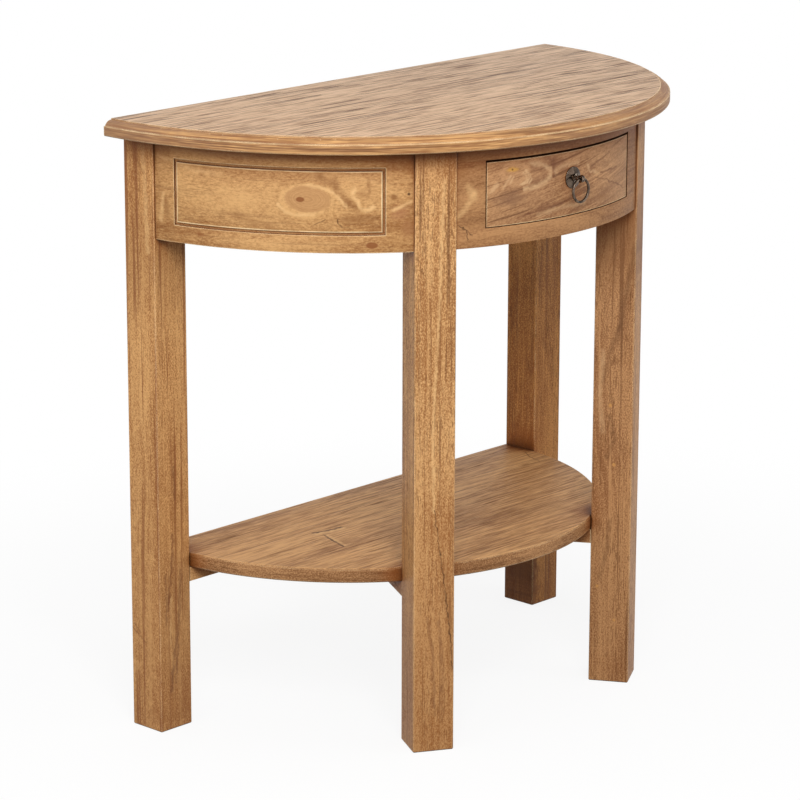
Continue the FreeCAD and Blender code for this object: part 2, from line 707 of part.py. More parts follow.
def drawer_front():
    """Bow front, rebated for the sides, grooved for the bottom panel and bored for the pull."""
    zs = ("opening_low + drawer_gap_below", "drawer_high")
    start, span = "-90 - front_leg_angle", "2 * front_leg_angle"
    bow = curved_board("drawer_face", "drawer_front_inner", zs, start, span)
    width = block(across("drawer_half"), ("-(drawer_face + overrun)", "0"), past(zs))
    rebate = block(("drawer_inside", "drawer_half + overrun"), ("rebate_y", "0"), past(zs))
    slot = disc("drawer_front_inner + panel_groove", panel_slot())
    bore = lay_along(doc.addObject("Part::Cylinder", "bore"), ACROSS)
    bind(bore, Radius="shank_hole_radius", Height="drawer_front_thick + 2 * overrun")
    place(bore, y="overrun - drawer_front_inner", z="pull_z")
    front = cut(overlap(bow, width), rebate, mirror(rebate), slot, bore)
    node(on_axis(front), "drawer_front")


def drawer_sides():
    """Sides, grooved for the bottom panel and housed for the back."""
    ys = ("rebate_y", "drawer_end")
    side = block(("drawer_inside", "drawer_half"), ys, ("drawer_low", "drawer_high"))
    slot = block(("drawer_inside - overrun", "drawer_inside + panel_groove"), past(ys), panel_slot())
    dado = block(("drawer_inside - overrun", "drawer_inside + dado_depth"),
                 ("drawer_back_rear - side_thick", "drawer_back_rear"),
                 ("panel_low", "drawer_high + overrun"))
    pair(on_axis(cut(side, slot, dado)), "drawer_side")


def drawer_back():
    """Back, standing on the bottom panel between the sides."""
    ys = from_axis(("drawer_back_rear - side_thick", "drawer_back_rear"))
    back = block(across("drawer_inside + dado_depth"), ys, ("panel_high", "drawer_high - back_lowering"))
    node(back, "drawer_back")


def drawer_bottom():
    """Thin panel in the grooves of the sides and the bow front."""
    zs, play = ("panel_low", "panel_high"), "panel_groove - panel_gap"
    panel = block(across(f"drawer_inside + {play}"), ("-drawer_face", "drawer_end"), zs)
    fitted = overlap(panel, disc(f"drawer_front_inner + {play}", past(zs)))
    node(on_axis(fitted), "drawer_bottom")


def pull_node(item, label):
    """Name a piece of the pull, drawn upright about the post, and lay it on the drawer front."""
    return node(place(lay_along(item, ACROSS), y="axis_y - drawer_face", z="pull_z"), label)


def pull_backplate():
    """Round plate, flat under the collar and sloping down to its rim."""
    section = [
        ("shank_hole_radius", "0"),
        ("plate_radius", "0"),
        ("plate_radius", "plate_rim"),
        ("collar_radius", "plate_thick"),
        ("shank_hole_radius", "plate_thick"),
    ]
    pull_node(revolved(section, {}), "pull_backplate")


def eye_cylinder(radius, half):
    """Cylinder across the post, about the axis that the ring swings on."""
    item = lay_along(doc.addObject("Part::Cylinder", "eye"), BACKWARD)
    bind(item, Radius=radius, Height=f"2 * ({half})")
    return place(item, x=f"-({half})", z="pull_reach")


def pull_eye_bolt():
    """Turned post with a shank through the drawer front and a flat round head, bored for the ring."""
    tail, collar_high = "nut_low - shank_tail", "plate_thick + collar_height"
    neck_high = "pull_reach - sqrt(eye_radius ^ 2 - neck_radius ^ 2)"
    section = [
        ("0", tail),
        ("shank_radius", tail),
        ("shank_radius", "plate_thick"),
        ("collar_radius", "plate_thick"),
        ("collar_radius", collar_high),
        ("neck_radius", collar_high),
        ("neck_radius", neck_high),
        ("0", neck_high),
    ]
    head = eye_cylinder("eye_radius", "eye_thick / 2")
    bore = eye_cylinder("eye_hole_radius", "eye_thick / 2 + overrun")
    pull_node(cut(join(revolved(section, {}), head), bore), "pull_eye_bolt")


def pull_fasteners():
    """Washer and hexagon nut on the shank, inside the drawer."""
    zs = ("nut_low", "washer_high")
    washer = disc("washer_radius", ("washer_low", "washer_high"))
    nut = prism("nut_radius", ("nut_low", "washer_low"), sides=NUT_SIDES)
    for blank, label in ((washer, "pull_washer"), (nut, "pull_nut")):
        pull_node(cut(blank, disc("shank_hole_radius", past(zs))), label)


def pull_ring():
    """Round wire ring, hanging in the eye."""
    turns = [f"360 * {side} / {WIRE_SIDES}" for side in range(WIRE_SIDES)]
    section = [(f"ring_radius + wire_radius * cos({turn})", f"wire_radius * sin({turn})") for turn in turns]
    ring = pull_node(revolved(section, {}), "pull_ring")
    place(ring, y="axis_y - drawer_face - pull_reach", z="pull_z - ring_radius")


def check_and_export():
    """Write every piece to its file, once all of them are sound."""
    doc.recompute()
    failed = [item.Label for item in doc.Objects if {"Invalid", "Error"} & set(item.State)]
    failed += [item.Label for item in nodes if item.Shape.isNull() or not item.Shape.isValid()]
    if failed:
        raise RuntimeError(f"pieces that did not build: {failed}")
    os.makedirs("parts", exist_ok=True)
    for item in nodes:
        item.Shape.exportStep(f"parts/{item.Label}.step")


fill_sheet()
for make in (
    table_top, back_legs, front_legs, side_aprons, back_apron, drawer_rails, front_stiles,
    drawer_runners, drawer_kickers, drawer_stops, glue_blocks,
    shelf, back_stretcher, front_stretchers, screws,
    drawer_front, drawer_sides, drawer_back, drawer_bottom,
    pull_backplate, pull_eye_bolt, pull_fasteners, pull_ring,
):
    make()
check_and_export()
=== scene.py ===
import math

import bmesh
import bpy
from mathutils import Matrix, Vector


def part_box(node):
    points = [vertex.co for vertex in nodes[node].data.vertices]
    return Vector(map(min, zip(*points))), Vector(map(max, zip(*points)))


# Half-round side table in honey-brown wood, with a bow-fronted drawer and a bronzed ring pull.
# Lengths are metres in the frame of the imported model: +Z up, the straight back at +Y, the floor
# at 0.

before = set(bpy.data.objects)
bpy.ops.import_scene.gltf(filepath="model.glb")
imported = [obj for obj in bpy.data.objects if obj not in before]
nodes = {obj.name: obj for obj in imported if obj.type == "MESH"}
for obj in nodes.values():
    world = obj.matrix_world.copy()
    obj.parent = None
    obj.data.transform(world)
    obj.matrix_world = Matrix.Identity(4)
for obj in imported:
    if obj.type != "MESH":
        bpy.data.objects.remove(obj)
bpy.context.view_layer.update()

# Camera, as in the photograph
IMAGE_SIDE = 800
SENSOR_WIDTH = 36
FOCAL_PIXELS = 3463.28
PRINCIPAL_PIXEL = (400.55, 392.11)
CAMERA_PLACE = Vector((-3.0793, -2.7891, 1.4802))
CAMERA_YAW = math.radians(46.785)
CAMERA_PITCH = math.radians(14.714)
CAMERA_ROLL = math.radians(0.15)

# Light: one large soft lamp, high in front on the left, and weak ones from both sides, in a pale
# surround. Each lamp has its place, the length of its side and its power.
LAMP_TARGET = Vector((0, 0, 0.6))
LAMPS = {
    "key": (Vector((-2.17, -2.24, 2.56)), 1.7, 90),
    "left": (Vector((-2.9, -0.25, 0.8)), 1.6, 14),
    "right": (Vector((1.5, -2.5, 0.9)), 1.4, 14),
}
WHITE = (1, 1, 1, 1)
SURROUND_STRENGTH = 0.52
FLOOR_SIZE = 40
FLOOR_BOUNCE = 0.2
SHADOW_REACH = (0.5, 1.3)
SHADOW_SHARE = 0.13

# Round front, from the boxes of the pieces that follow it
TOP_LOW, TOP_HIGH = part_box("table_top")
ROUND_RADIUS = (TOP_HIGH.x - TOP_LOW.x) / 2
ROUND_AXIS_Y = TOP_LOW.y + ROUND_RADIUS
FACE_RADIUS = ROUND_AXIS_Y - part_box("drawer_rail_lower")[0].y
FRONT_LEG_TURN = 30.25

# Sockets of a Mix node that mixes colours
MIX_SHARE, MIX_FIRST, MIX_SECOND, MIX_RESULT = 0, 6, 7, 2


def srgb(red, green, blue):
    """Colour written as screen values from 0 to 255, in the linear form that shaders take."""
    shares = (value / 255 for value in (red, green, blue))
    return (*(s / 12.92 if s <= 0.04045 else ((s + 0.055) / 1.055) ** 2.4 for s in shares), 1)


class Graph:
    """Adds nodes to a tree and joins them. A value is a number, a colour or a node's output."""

    def __init__(self, tree):
        self.tree = tree

    def feed(self, socket, value):
        if isinstance(value, bpy.types.NodeSocket):
            self.tree.links.new(value, socket)
        else:
            socket.default_value = value

    def node(self, kind, inputs=(), **settings):
        made = self.tree.nodes.new(f"ShaderNode{kind}")
        for name, value in settings.items():
            setattr(made, name, value)
        for name, value in dict(inputs).items():
            self.feed(made.inputs[name], value)
        return made

    def math(self, operation, *values, **settings):
        return self.node("Math", enumerate(values), operation=operation, **settings).outputs[0]

    def add(self, *values):
        total = values[0]
        for value in values[1:]:
            total = self.math("ADD", total, value)
        return total

    def times(self, *values):
        total = values[0]
        for value in values[1:]:
            total = self.math("MULTIPLY", total, value)
        return total

    def minus(self, first, second):
        return self.math("SUBTRACT", first, second)

    def blend(self, share, first, second):
        return self.add(first, self.times(share, self.minus(second, first)))

    def weigh(self, first, first_share, second, second_share):
        return self.math("MULTIPLY_ADD", first, first_share, self.times(second, second_share))

    def vector(self, x, y, z):
        return self.node("CombineXYZ", enumerate((x, y, z))).outputs[0]

    def parts(self, vector):
        return self.node("SeparateXYZ", {0: vector}).outputs

    def stretch(self, vector, scales):
        stretched = self.node("VectorMath", {0: vector, 1: scales}, operation="MULTIPLY")
        return stretched.outputs[0]

    def noise(self, vector, waves, detail=2.0, roughness=0.5):
        """Cloudy noise between 0 and 1, with so many waves per metre on each axis."""
        inputs = {"Vector": self.stretch(vector, waves), "Scale": 1.0, "Detail": detail,
                  "Roughness": roughness}
        return self.node("TexNoise", inputs).outputs[0]

    def ramp(self, value, low, high, start=0.0, end=1.0):
        """Smooth step from start to end while the value goes from low to high."""
        inputs = {"Value": value, "From Min": low, "From Max": high,
                  "To Min": start, "To Max": end}
        return self.node("MapRange", inputs, interpolation_type="SMOOTHSTEP").outputs[0]

    def mix(self, share, first, second):
        inputs = {MIX_SHARE: share, MIX_FIRST: first, MIX_SECOND: second}
        return self.node("Mix", inputs, data_type="RGBA").outputs[MIX_RESULT]

    def length(self, *values):
        squares = [self.times(value, value) for value in values]
        return self.math("SQRT", self.add(*squares))


def new_material(name):
    material = bpy.data.materials.new(name)
    material.use_nodes = True
    return material, Graph(material.node_tree), material.node_tree.nodes["Principled BSDF"]


def object_place(graph):
    """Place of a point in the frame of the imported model."""
    return graph.parts(graph.node("TexCoord").outputs["Object"])


# Grain: each maker gives a board's own coordinates, along the grain, across it and into the board

def straight_grain(axis):
    """Grain along X, Y or Z."""
    order = {"X": (0, 1, 2), "Y": (1, 0, 2), "Z": (2, 0, 1)}[axis]

    def coordinates(graph):
        place = object_place(graph)
        return [place[index] for index in order]

    return coordinates


def turned_grain(axis, degrees):
    """Grain of a piece that is turned about the vertical axis."""
    turn = math.radians(degrees)

    def coordinates(graph):
        x, y, z = object_place(graph)
        first = graph.weigh(x, math.cos(turn), y, math.sin(turn))
        second = graph.weigh(x, -math.sin(turn), y, math.cos(turn))
        return {"Z": [z, first, second], "Y": [second, first, z]}[axis]

    return coordinates


def round_grain(graph):
    """Grain that follows the round front: along the curve, up, and out from the axis."""
    x, y, z = object_place(graph)
    out = graph.minus(ROUND_AXIS_Y, y)
    turn = graph.math("ARCTAN2", x, out)
    return [graph.times(turn, FACE_RADIUS), z, graph.length(x, out)]


# What a board's look sets in the figure of the wood: colours, shares of each kind of mark, the
# growth rings' spacing, and waves per metre along, across and into the board
LOOK_INPUTS = (
    ("Light", "Color"), ("Dark", "Color"), ("Line", "Color"),
    ("Bands", "Float"), ("Clouds", "Float"), ("Speckle", "Float"),
    ("Streaks", "Float"), ("Pores", "Float"), ("Spacing", "Float"),
    ("Streak_waves", "Vector"), ("Fibre_waves", "Vector"), ("Pore_waves", "Vector"),
)

# What all boards share: waves per metre, or per growth ring, lengths of the rings' wandering, steps
# of noise between which a mark comes in, and what the marks add to roughness and relief
SWAY_WAVES, SWAY_LENGTH = (2.2, 5, 5), 0.08
RIPPLE_WAVES, RIPPLE_LENGTH = (16, 60, 60), 0.008
RING_WAVES, RING_DRIFT = (1, 1, 1), 1.6
BAND_STEP = (0.36, 0.66)
CLOUD_WAVES, CLOUD_STEP = (4, 11, 11), (0.34, 0.66)
MOTTLE_WAVES = (28, 50, 50)
STREAK_STEP = (0.56, 0.66)
GLINT_STEP = (0.44, 0.32)
GATHER_WAVES, GATHER_STEP = (8, 50, 50), (0.4, 0.62, 0.2, 1.0)
PORE_STEP = (0.56, 0.62)
TINT_STEP = (-0.2, 0.95)
NOISE_MEAN = 0.5
WAX_ROUGHNESS, FIBRE_ROUGHNESS, PORE_ROUGHNESS = 0.44, 0.14, 0.2
FIBRE_HEIGHT, PORE_HEIGHT, STREAK_HEIGHT = 0.5, -0.9, -0.3


def make_wood_group():
    """Figure of an open-grained hardwood.

    It goes from a board's own coordinates to colour, roughness and relief.
    """
    tree = bpy.data.node_groups.new("wood_figure", "ShaderNodeTree")
    for name, kind in (("Grain", "Vector"), ("Swell", "Float"), *LOOK_INPUTS):
        tree.interface.new_socket(name, in_out="INPUT", socket_type=f"NodeSocket{kind}")
    for name, kind in (("Color", "Color"), ("Roughness", "Float"), ("Height", "Float")):
        tree.interface.new_socket(name, in_out="OUTPUT", socket_type=f"NodeSocket{kind}")
    graph = Graph(tree)
    start = tree.nodes.new("NodeGroupInput").outputs
    end = tree.nodes.new("NodeGroupOutput").inputs
    grain = start["Grain"]
    along, across, depth = graph.parts(grain)

    # Growth rings of uneven width round a wandering heart, cut into long arches by the faces
    sway = graph.noise(grain, SWAY_WAVES)
    ripple = graph.noise(grain, RIPPLE_WAVES, detail=3)
    wander = graph.weigh(sway, SWAY_LENGTH, ripple, RIPPLE_LENGTH)
    from_heart = graph.length(graph.add(across, wander), graph.add(depth, wander))
    rings = graph.math("DIVIDE", graph.add(from_heart, start["Swell"]), start["Spacing"])
    drift = graph.times(along, RING_DRIFT)
    ring_noise = graph.noise(graph.vector(rings, drift, 0.0), RING_WAVES, detail=4,
                             roughness=0.62)
    bands = graph.ramp(ring_noise, *BAND_STEP)

    # Broad clouds, long streaks, fibres and open pores
    clouds = graph.add(graph.ramp(graph.noise(grain, CLOUD_WAVES, detail=3), *CLOUD_STEP),
                       graph.noise(grain, MOTTLE_WAVES, detail=4, roughness=0.65), -NOISE_MEAN)
    rows = graph.noise(grain, start["Streak_waves"], detail=4, roughness=0.6)
    streaks, glints = graph.ramp(rows, *STREAK_STEP), graph.ramp(rows, *GLINT_STEP)
    fibres = graph.noise(grain, start["Fibre_waves"], detail=2, roughness=0.7)
    gather = graph.ramp(graph.noise(grain, GATHER_WAVES), *GATHER_STEP)
    dashes = graph.ramp(graph.noise(grain, start["Pore_waves"]), *PORE_STEP)
    pores = graph.times(dashes, gather, start["Pores"])

    tint = graph.add(graph.weigh(clouds, start["Clouds"], bands, start["Bands"]),
                     graph.times(graph.minus(fibres, NOISE_MEAN), start["Speckle"]))
    wood = graph.mix(graph.ramp(tint, *TINT_STEP), start["Light"], start["Dark"])
    wood = graph.mix(graph.times(glints, start["Streaks"]), wood, start["Light"])
    lines = graph.math("MAXIMUM", graph.times(streaks, start["Streaks"]), pores)
    graph.feed(end["Color"], graph.mix(lines, wood, start["Line"]))
    rough = graph.weigh(fibres, FIBRE_ROUGHNESS, pores, PORE_ROUGHNESS)
    graph.feed(end["Roughness"], graph.add(WAX_ROUGHNESS, rough))
    relief = graph.weigh(fibres, FIBRE_HEIGHT, pores, PORE_HEIGHT)
    graph.feed(end["Height"], graph.add(relief, graph.times(streaks, STREAK_HEIGHT)))
    return tree


WOOD_GROUP = make_wood_group()

# Marks: waves per metre, how far noise shifts their rims, and the steps between which they fade
# in, as shares of a half size or half width
STAIN_WAVES, STAIN_SHIFT, STAIN_FADE = (70, 130, 1), 1.6, (1.3, 0.2)
KNOT_WAVES, KNOT_SHIFT, KNOT_FADE = (26, 40, 1), 0.5, (1.03, 0.93)
HALO_FADE, HALO_SHARE = (1.35, 1.06), 0.15
KNOT_RING_WAVES, KNOT_RING_STEP = (11, 1, 1), (0.4, 0.6)
HEART_FADE, HEART_SHARE = (1.1, 0.7), 0.9
LINE_SWAY_WAVES, LINE_SWAY = (120, 120, 1), 0.006
LINE_RAGGED_WAVES, LINE_RAGGED = (260, 260, 1), 1.6
LINE_PATCH_WAVES, LINE_PATCH_STEP = (70, 110, 1), (0.36, 0.62, 0.5, 1.0)
FLAME_FADE = (2.1, 0.0)
CRACK_FADE = (1.1, 0.35)
RIM_INSET = 0.0006
RIM_HALF_WIDTH = 0.001
RIM_PATCH_WAVES, RIM_PATCH_STEP = (30, 30, 1), (0.35, 0.62, 0.15, 0.9)

KNOT_BROWN = srgb(136, 80, 40)
KNOT_TAN = srgb(192, 144, 95)
KNOT_RING = srgb(174, 126, 80)
DARK_FLAME = srgb(140, 92, 50)
PALE_FLAME = srgb(234, 188, 130)
CRACK_BROWN = srgb(62, 34, 16)
FLAME_GLOW = srgb(216, 174, 128)
FLAME_SHADOW = srgb(112, 68, 42)
RIPPLE_BROWN = srgb(112, 74, 44)
# Pale colour of worn arrises, and of the highlights painted on arrises and rims
WEAR_AND_HIGHLIGHT_TINT = srgb(255, 224, 174)


def ellipse(graph, place, middle, half_sizes, tilt=0):
    """Distance from the middle of an ellipse on the board, 1 on its rim."""
    along, across = (graph.minus(value, centre) for value, centre in zip(place, middle))
    turn = math.radians(tilt)
    length, height = half_sizes
    first = graph.weigh(along, math.cos(turn) / length, across, math.sin(turn) / length)
    second = graph.weigh(along, -math.sin(turn) / height, across, math.cos(turn) / height)
    return graph.length(first, second)


def swells(graph, place, marks):
    """How far knots and burls push the growth rings aside."""
    total = 0.0
    for middle, half_sizes, rise in marks:
        reach = ellipse(graph, place, middle, half_sizes)
        hump = graph.math("EXPONENT", graph.times(reach, reach, -1.0))
        total = graph.math("MULTIPLY_ADD", hump, rise, total)
    return total


def stained(graph, place, colour, marks):
    """Soft-edged patches: pale flames, dark streaks and filled holes."""
    if not marks:
        return colour
    jitter = graph.noise(graph.vector(*place, 0.0), STAIN_WAVES, detail=5, roughness=0.7)
    for middle, half_sizes, tilt, share, tone in marks:
        reach = graph.add(ellipse(graph, place, middle, half_sizes, tilt),
                          graph.times(jitter, STAIN_SHIFT), -STAIN_SHIFT / 2)
        colour = graph.mix(graph.ramp(reach, *STAIN_FADE, 0.0, share), colour, tone)
    return colour


def knotted(graph, place, colour, marks):
    """Knots: a pale halo, rings of their own and a dark heart."""
    if not marks:
        return colour
    jitter = graph.noise(graph.vector(*place, 0.0), KNOT_WAVES, detail=3)
    for middle, half_sizes, tilt, share, heart, heart_sizes in marks:
        reach = graph.add(ellipse(graph, place, middle, half_sizes, tilt),
                          graph.times(jitter, KNOT_SHIFT), -KNOT_SHIFT / 2)
        halo = graph.ramp(reach, *HALO_FADE, 0.0, HALO_SHARE * share)
        body = graph.ramp(reach, *KNOT_FADE, 0.0, share)
        outward = graph.vector(reach, 0.0, 0.0)
        rings = graph.ramp(graph.noise(outward, KNOT_RING_WAVES, detail=2), *KNOT_RING_STEP)
        core = graph.ramp(ellipse(graph, place, heart, heart_sizes), *HEART_FADE,
                          0.0, HEART_SHARE)
        colour = graph.mix(halo, colour, PALE_FLAME)
        colour = graph.mix(body, colour, graph.mix(rings, KNOT_TAN, KNOT_RING))
        colour = graph.mix(core, colour, KNOT_BROWN)
    return colour


def line_distance(graph, place, start, end):
    """Distance from a straight line between two points on the board."""
    along, across = (graph.minus(value, origin) for value, origin in zip(place, start))
    run, climb = (far - near for near, far in zip(start, end))
    square = run * run + climb * climb
    share = graph.math("MULTIPLY_ADD", along, run / square,
                       graph.times(across, climb / square), use_clamp=True)
    return graph.length(graph.math("MULTIPLY_ADD", share, -run, along),
                        graph.math("MULTIPLY_ADD", share, -climb, across))


def lined(graph, place, colour, marks, outer, inner):
    """Wandering lines, which fade from inner to outer times their half width."""
    if not marks:
        return colour
    flat = graph.vector(*place, 0.0)
    sway = graph.math("MULTIPLY_ADD", graph.noise(flat, LINE_SWAY_WAVES, detail=3),
                      LINE_SWAY, -LINE_SWAY / 2)
    ragged = graph.minus(graph.noise(flat, LINE_RAGGED_WAVES, detail=3, roughness=0.7),
                         NOISE_MEAN)
    bent = [graph.add(value, sway) for value in place]
    patchy = graph.ramp(graph.noise(flat, LINE_PATCH_WAVES, detail=4, roughness=0.65),
                        *LINE_PATCH_STEP)
    for points, half_width, share, tone in marks:
        reach = line_distance(graph, bent, *points[:2])
        for start, end in zip(points[1:], points[2:]):
            reach = graph.math("MINIMUM", reach, line_distance(graph, bent, start, end))
        edge = graph.math("MULTIPLY_ADD", ragged, LINE_RAGGED * half_width, reach)
        line = graph.ramp(edge, half_width * outer, half_width * inner, 0.0, share)
        colour = graph.mix(graph.times(line, patchy), colour, tone)
    return colour


def highlighted_rims(graph, place, colour, marks):
    """Painted highlight: a pale line just inside an incised rectangle."""
    for middle, half_sizes in marks:
        sides = [graph.minus(graph.math("ABSOLUTE", graph.minus(value, centre)), half)
                 for value, centre, half in zip(place, middle, half_sizes)]
        outside = graph.math("MAXIMUM", *sides)
        from_line = graph.math("ABSOLUTE", graph.add(outside, RIM_INSET))
        patchy = graph.ramp(graph.noise(graph.vector(*place, 0.0), RIM_PATCH_WAVES, detail=4),
                            *RIM_PATCH_STEP)
        rim = graph.times(graph.ramp(from_line, RIM_HALF_WIDTH, RIM_HALF_WIDTH / 3), patchy)
        colour = graph.mix(rim, colour, WEAR_AND_HIGHLIGHT_TINT)
    return colour


def figure(graph, place, look, marks=None):
    """Figure of one board: its colour, roughness and relief."""
    marks = marks or {}
    face = place[:2]
    along, across, depth = (graph.minus(value, centre)
                            for value, centre in zip(place, look["heart"]))
    leaning = graph.math("MULTIPLY_ADD", along, -look["lean"], across)
    group = graph.node("Group", node_tree=WOOD_GROUP)
    graph.feed(group.inputs["Grain"], graph.vector(along, leaning, depth))
    graph.feed(group.inputs["Swell"], swells(graph, face, marks.get("swells", ())))
    for name, _ in LOOK_INPUTS:
        graph.feed(group.inputs[name], look[name.lower()])
    colour = stained(graph, face, group.outputs["Color"], marks.get("stains", ()))
    colour = knotted(graph, face, colour, marks.get("knots", ()))
    colour = lined(graph, face, colour, marks.get("flames", ()), *FLAME_FADE)
    colour = lined(graph, face, colour, marks.get("cracks", ()), *CRACK_FADE)
    colour = highlighted_rims(graph, face, colour, marks.get("rims", ()))
    return colour, group.outputs["Roughness"], group.outputs["Height"]


# Finish: arrises paled by wear and by a painted highlight, where the eased normal turns away
# from the face's own, and painted shade in corners, where a point is open to less of its
# surroundings. The shades have the openness where they start and where they are full, their share
# and their tint.
GRAIN_RELIEF, RELIEF_STRENGTH = 0.0005, 0.7
EDGE_SAMPLES = 6
# Arrises: their pale colour is partly wear and partly a painted highlight
WEAR_AND_HIGHLIGHT_RADIUS, WEAR_AND_HIGHLIGHT_STEP, WEAR_AND_HIGHLIGHT_OPEN = 0.002, (0.99, 0.945), (0.5, 0.75)
WEAR_AND_HIGHLIGHT_WAVES, WEAR_AND_HIGHLIGHT_PATCH_STEP, WEAR_AND_HIGHLIGHT_LEAST = (40, 40, 40), (0.35, 0.6), 0.45
OPENNESS_SAMPLES = 8
# Crevices: painted shade and dirt where a point is open to little within a few millimetres
CREVICE_REACH = 0.006
CREVICE_SHADE_AND_DIRT_TINT, CREVICE_SHADE_AND_DIRT_SHARE = srgb(64, 36, 16), 0.92
OPEN_CREVICE = (0.7, 0.25)
TIGHT_CREVICE = (0.3, 0.06)
SHADE_REACH = 0.05
PAINTED_SHADES = ((0.95, 0.55, 0.85, srgb(138, 73, 20)), (0.72, 0.46, 0.75, srgb(52, 24, 5)))
FOOT_HEIGHT = 0.08
WOOD_SPECULAR = 0.22
TOP_SPECULAR = 0.35
SHELF_SPECULAR = 0.15


def edge_agreement(graph, radius):
    """1 on a flat face, and less within this radius of an edge."""
    eased = graph.node("Bevel", {"Radius": radius}, samples=EDGE_SAMPLES).outputs[0]
    facing = graph.node("NewGeometry").outputs["Normal"]
    agree = graph.node("VectorMath", {0: eased, 1: facing}, operation="DOT_PRODUCT")
    return agree.outputs["Value"]


def openness(graph, reach):
    """Share of its surroundings, as far as this reach, that a point is open to."""
    found = graph.node("AmbientOcclusion", {"Distance": reach}, samples=OPENNESS_SAMPLES)
    return found.outputs["AO"]


def finish_wood(graph, shader, colour, roughness, height, specular, wear_and_highlight_share=1.0,
                crevice=OPEN_CREVICE):
    """Waxed wood: arrises pale from wear and painted highlight, painted shade in corners above the
    feet, painted shade and dirt in crevices, open pores.
    """
    agree = edge_agreement(graph, WEAR_AND_HIGHLIGHT_RADIUS)
    near, far = (openness(graph, reach) for reach in (CREVICE_REACH, SHADE_REACH))
    place = graph.node("TexCoord").outputs["Object"]
    patchy = graph.ramp(graph.noise(place, WEAR_AND_HIGHLIGHT_WAVES, detail=3), *WEAR_AND_HIGHLIGHT_PATCH_STEP,
                        WEAR_AND_HIGHLIGHT_LEAST * wear_and_highlight_share, wear_and_highlight_share)
    # Arrises paled partly by wear and partly by a painted highlight
    lit_and_worn = graph.times(graph.ramp(agree, *WEAR_AND_HIGHLIGHT_STEP), patchy, graph.ramp(near, *WEAR_AND_HIGHLIGHT_OPEN))
    colour = graph.mix(lit_and_worn, colour, WEAR_AND_HIGHLIGHT_TINT)
    above_feet = graph.ramp(graph.parts(place)[2], 0.0, FOOT_HEIGHT)
    # Painted shade, darker where a point is open to less of its surroundings, stopping short of the
    # floor
    for start, full, share, tint in PAINTED_SHADES:
        shade = graph.ramp(far, start, full, 0.0, share)
        colour = graph.mix(graph.times(above_feet, shade), colour, tint)
    # Painted shade and dirt in crevices, gaps and grooves
    colour = graph.mix(graph.ramp(near, *crevice, 0.0, CREVICE_SHADE_AND_DIRT_SHARE), colour, CREVICE_SHADE_AND_DIRT_TINT)
    bump = graph.node("Bump", {"Strength": RELIEF_STRENGTH, "Distance": GRAIN_RELIEF,
                               "Height": height}).outputs[0]
    for name, value in (("Base Color", colour), ("Roughness", roughness), ("Normal", bump),
                        ("Specular IOR Level", specular)):
        graph.feed(shader.inputs[name], value)


def wood(name, coordinates, look, marks=None, wear_and_highlight_share=1.0, crevice=OPEN_CREVICE):
    """Wood of one board or of a few that share their coordinates."""
    material, graph, shader = new_material(name)
    painted = figure(graph, coordinates(graph), look, marks)
    finish_wood(graph, shader, *painted, WOOD_SPECULAR, wear_and_highlight_share, crevice)
    return material


FRAME_LOOK = {
    "light": srgb(224, 174, 116), "dark": srgb(156, 104, 58), "line": srgb(98, 58, 28),
    "bands": 0.3, "clouds": 0.45, "speckle": 2.8, "streaks": 0.65, "pores": 0.55,
    "spacing": 0.006, "lean": 0.0,
    "streak_waves": (4, 210, 210), "fibre_waves": (420, 640, 640), "pore_waves": (70, 560, 560),
}


def board(heart=(0.0, 0.0, 0.0), **changes):
    """Look of a board of the frame, cut from another place in the tree."""
    return {**FRAME_LOOK, "heart": heart, **changes}


# Marks on single boards, at places along and across the grain.
# Swells: middle, half sizes, and how far the growth rings are pushed aside.
# Stains: middle, half sizes, tilt in degrees, share and colour.
# Knots: middle, half sizes, tilt, share, and the heart's middle and half sizes.
# Flames and cracks: points of the line, half width, share and colour.
# Rims: middle and half sizes of an incised rectangle, inside which a pale line is painted as a
# highlight.
APRON_RIMS = {side: [((sign * 0.3834, 0.6775), (0.126, 0.0359))]
              for side, sign in (("left", -1), ("right", 1))}

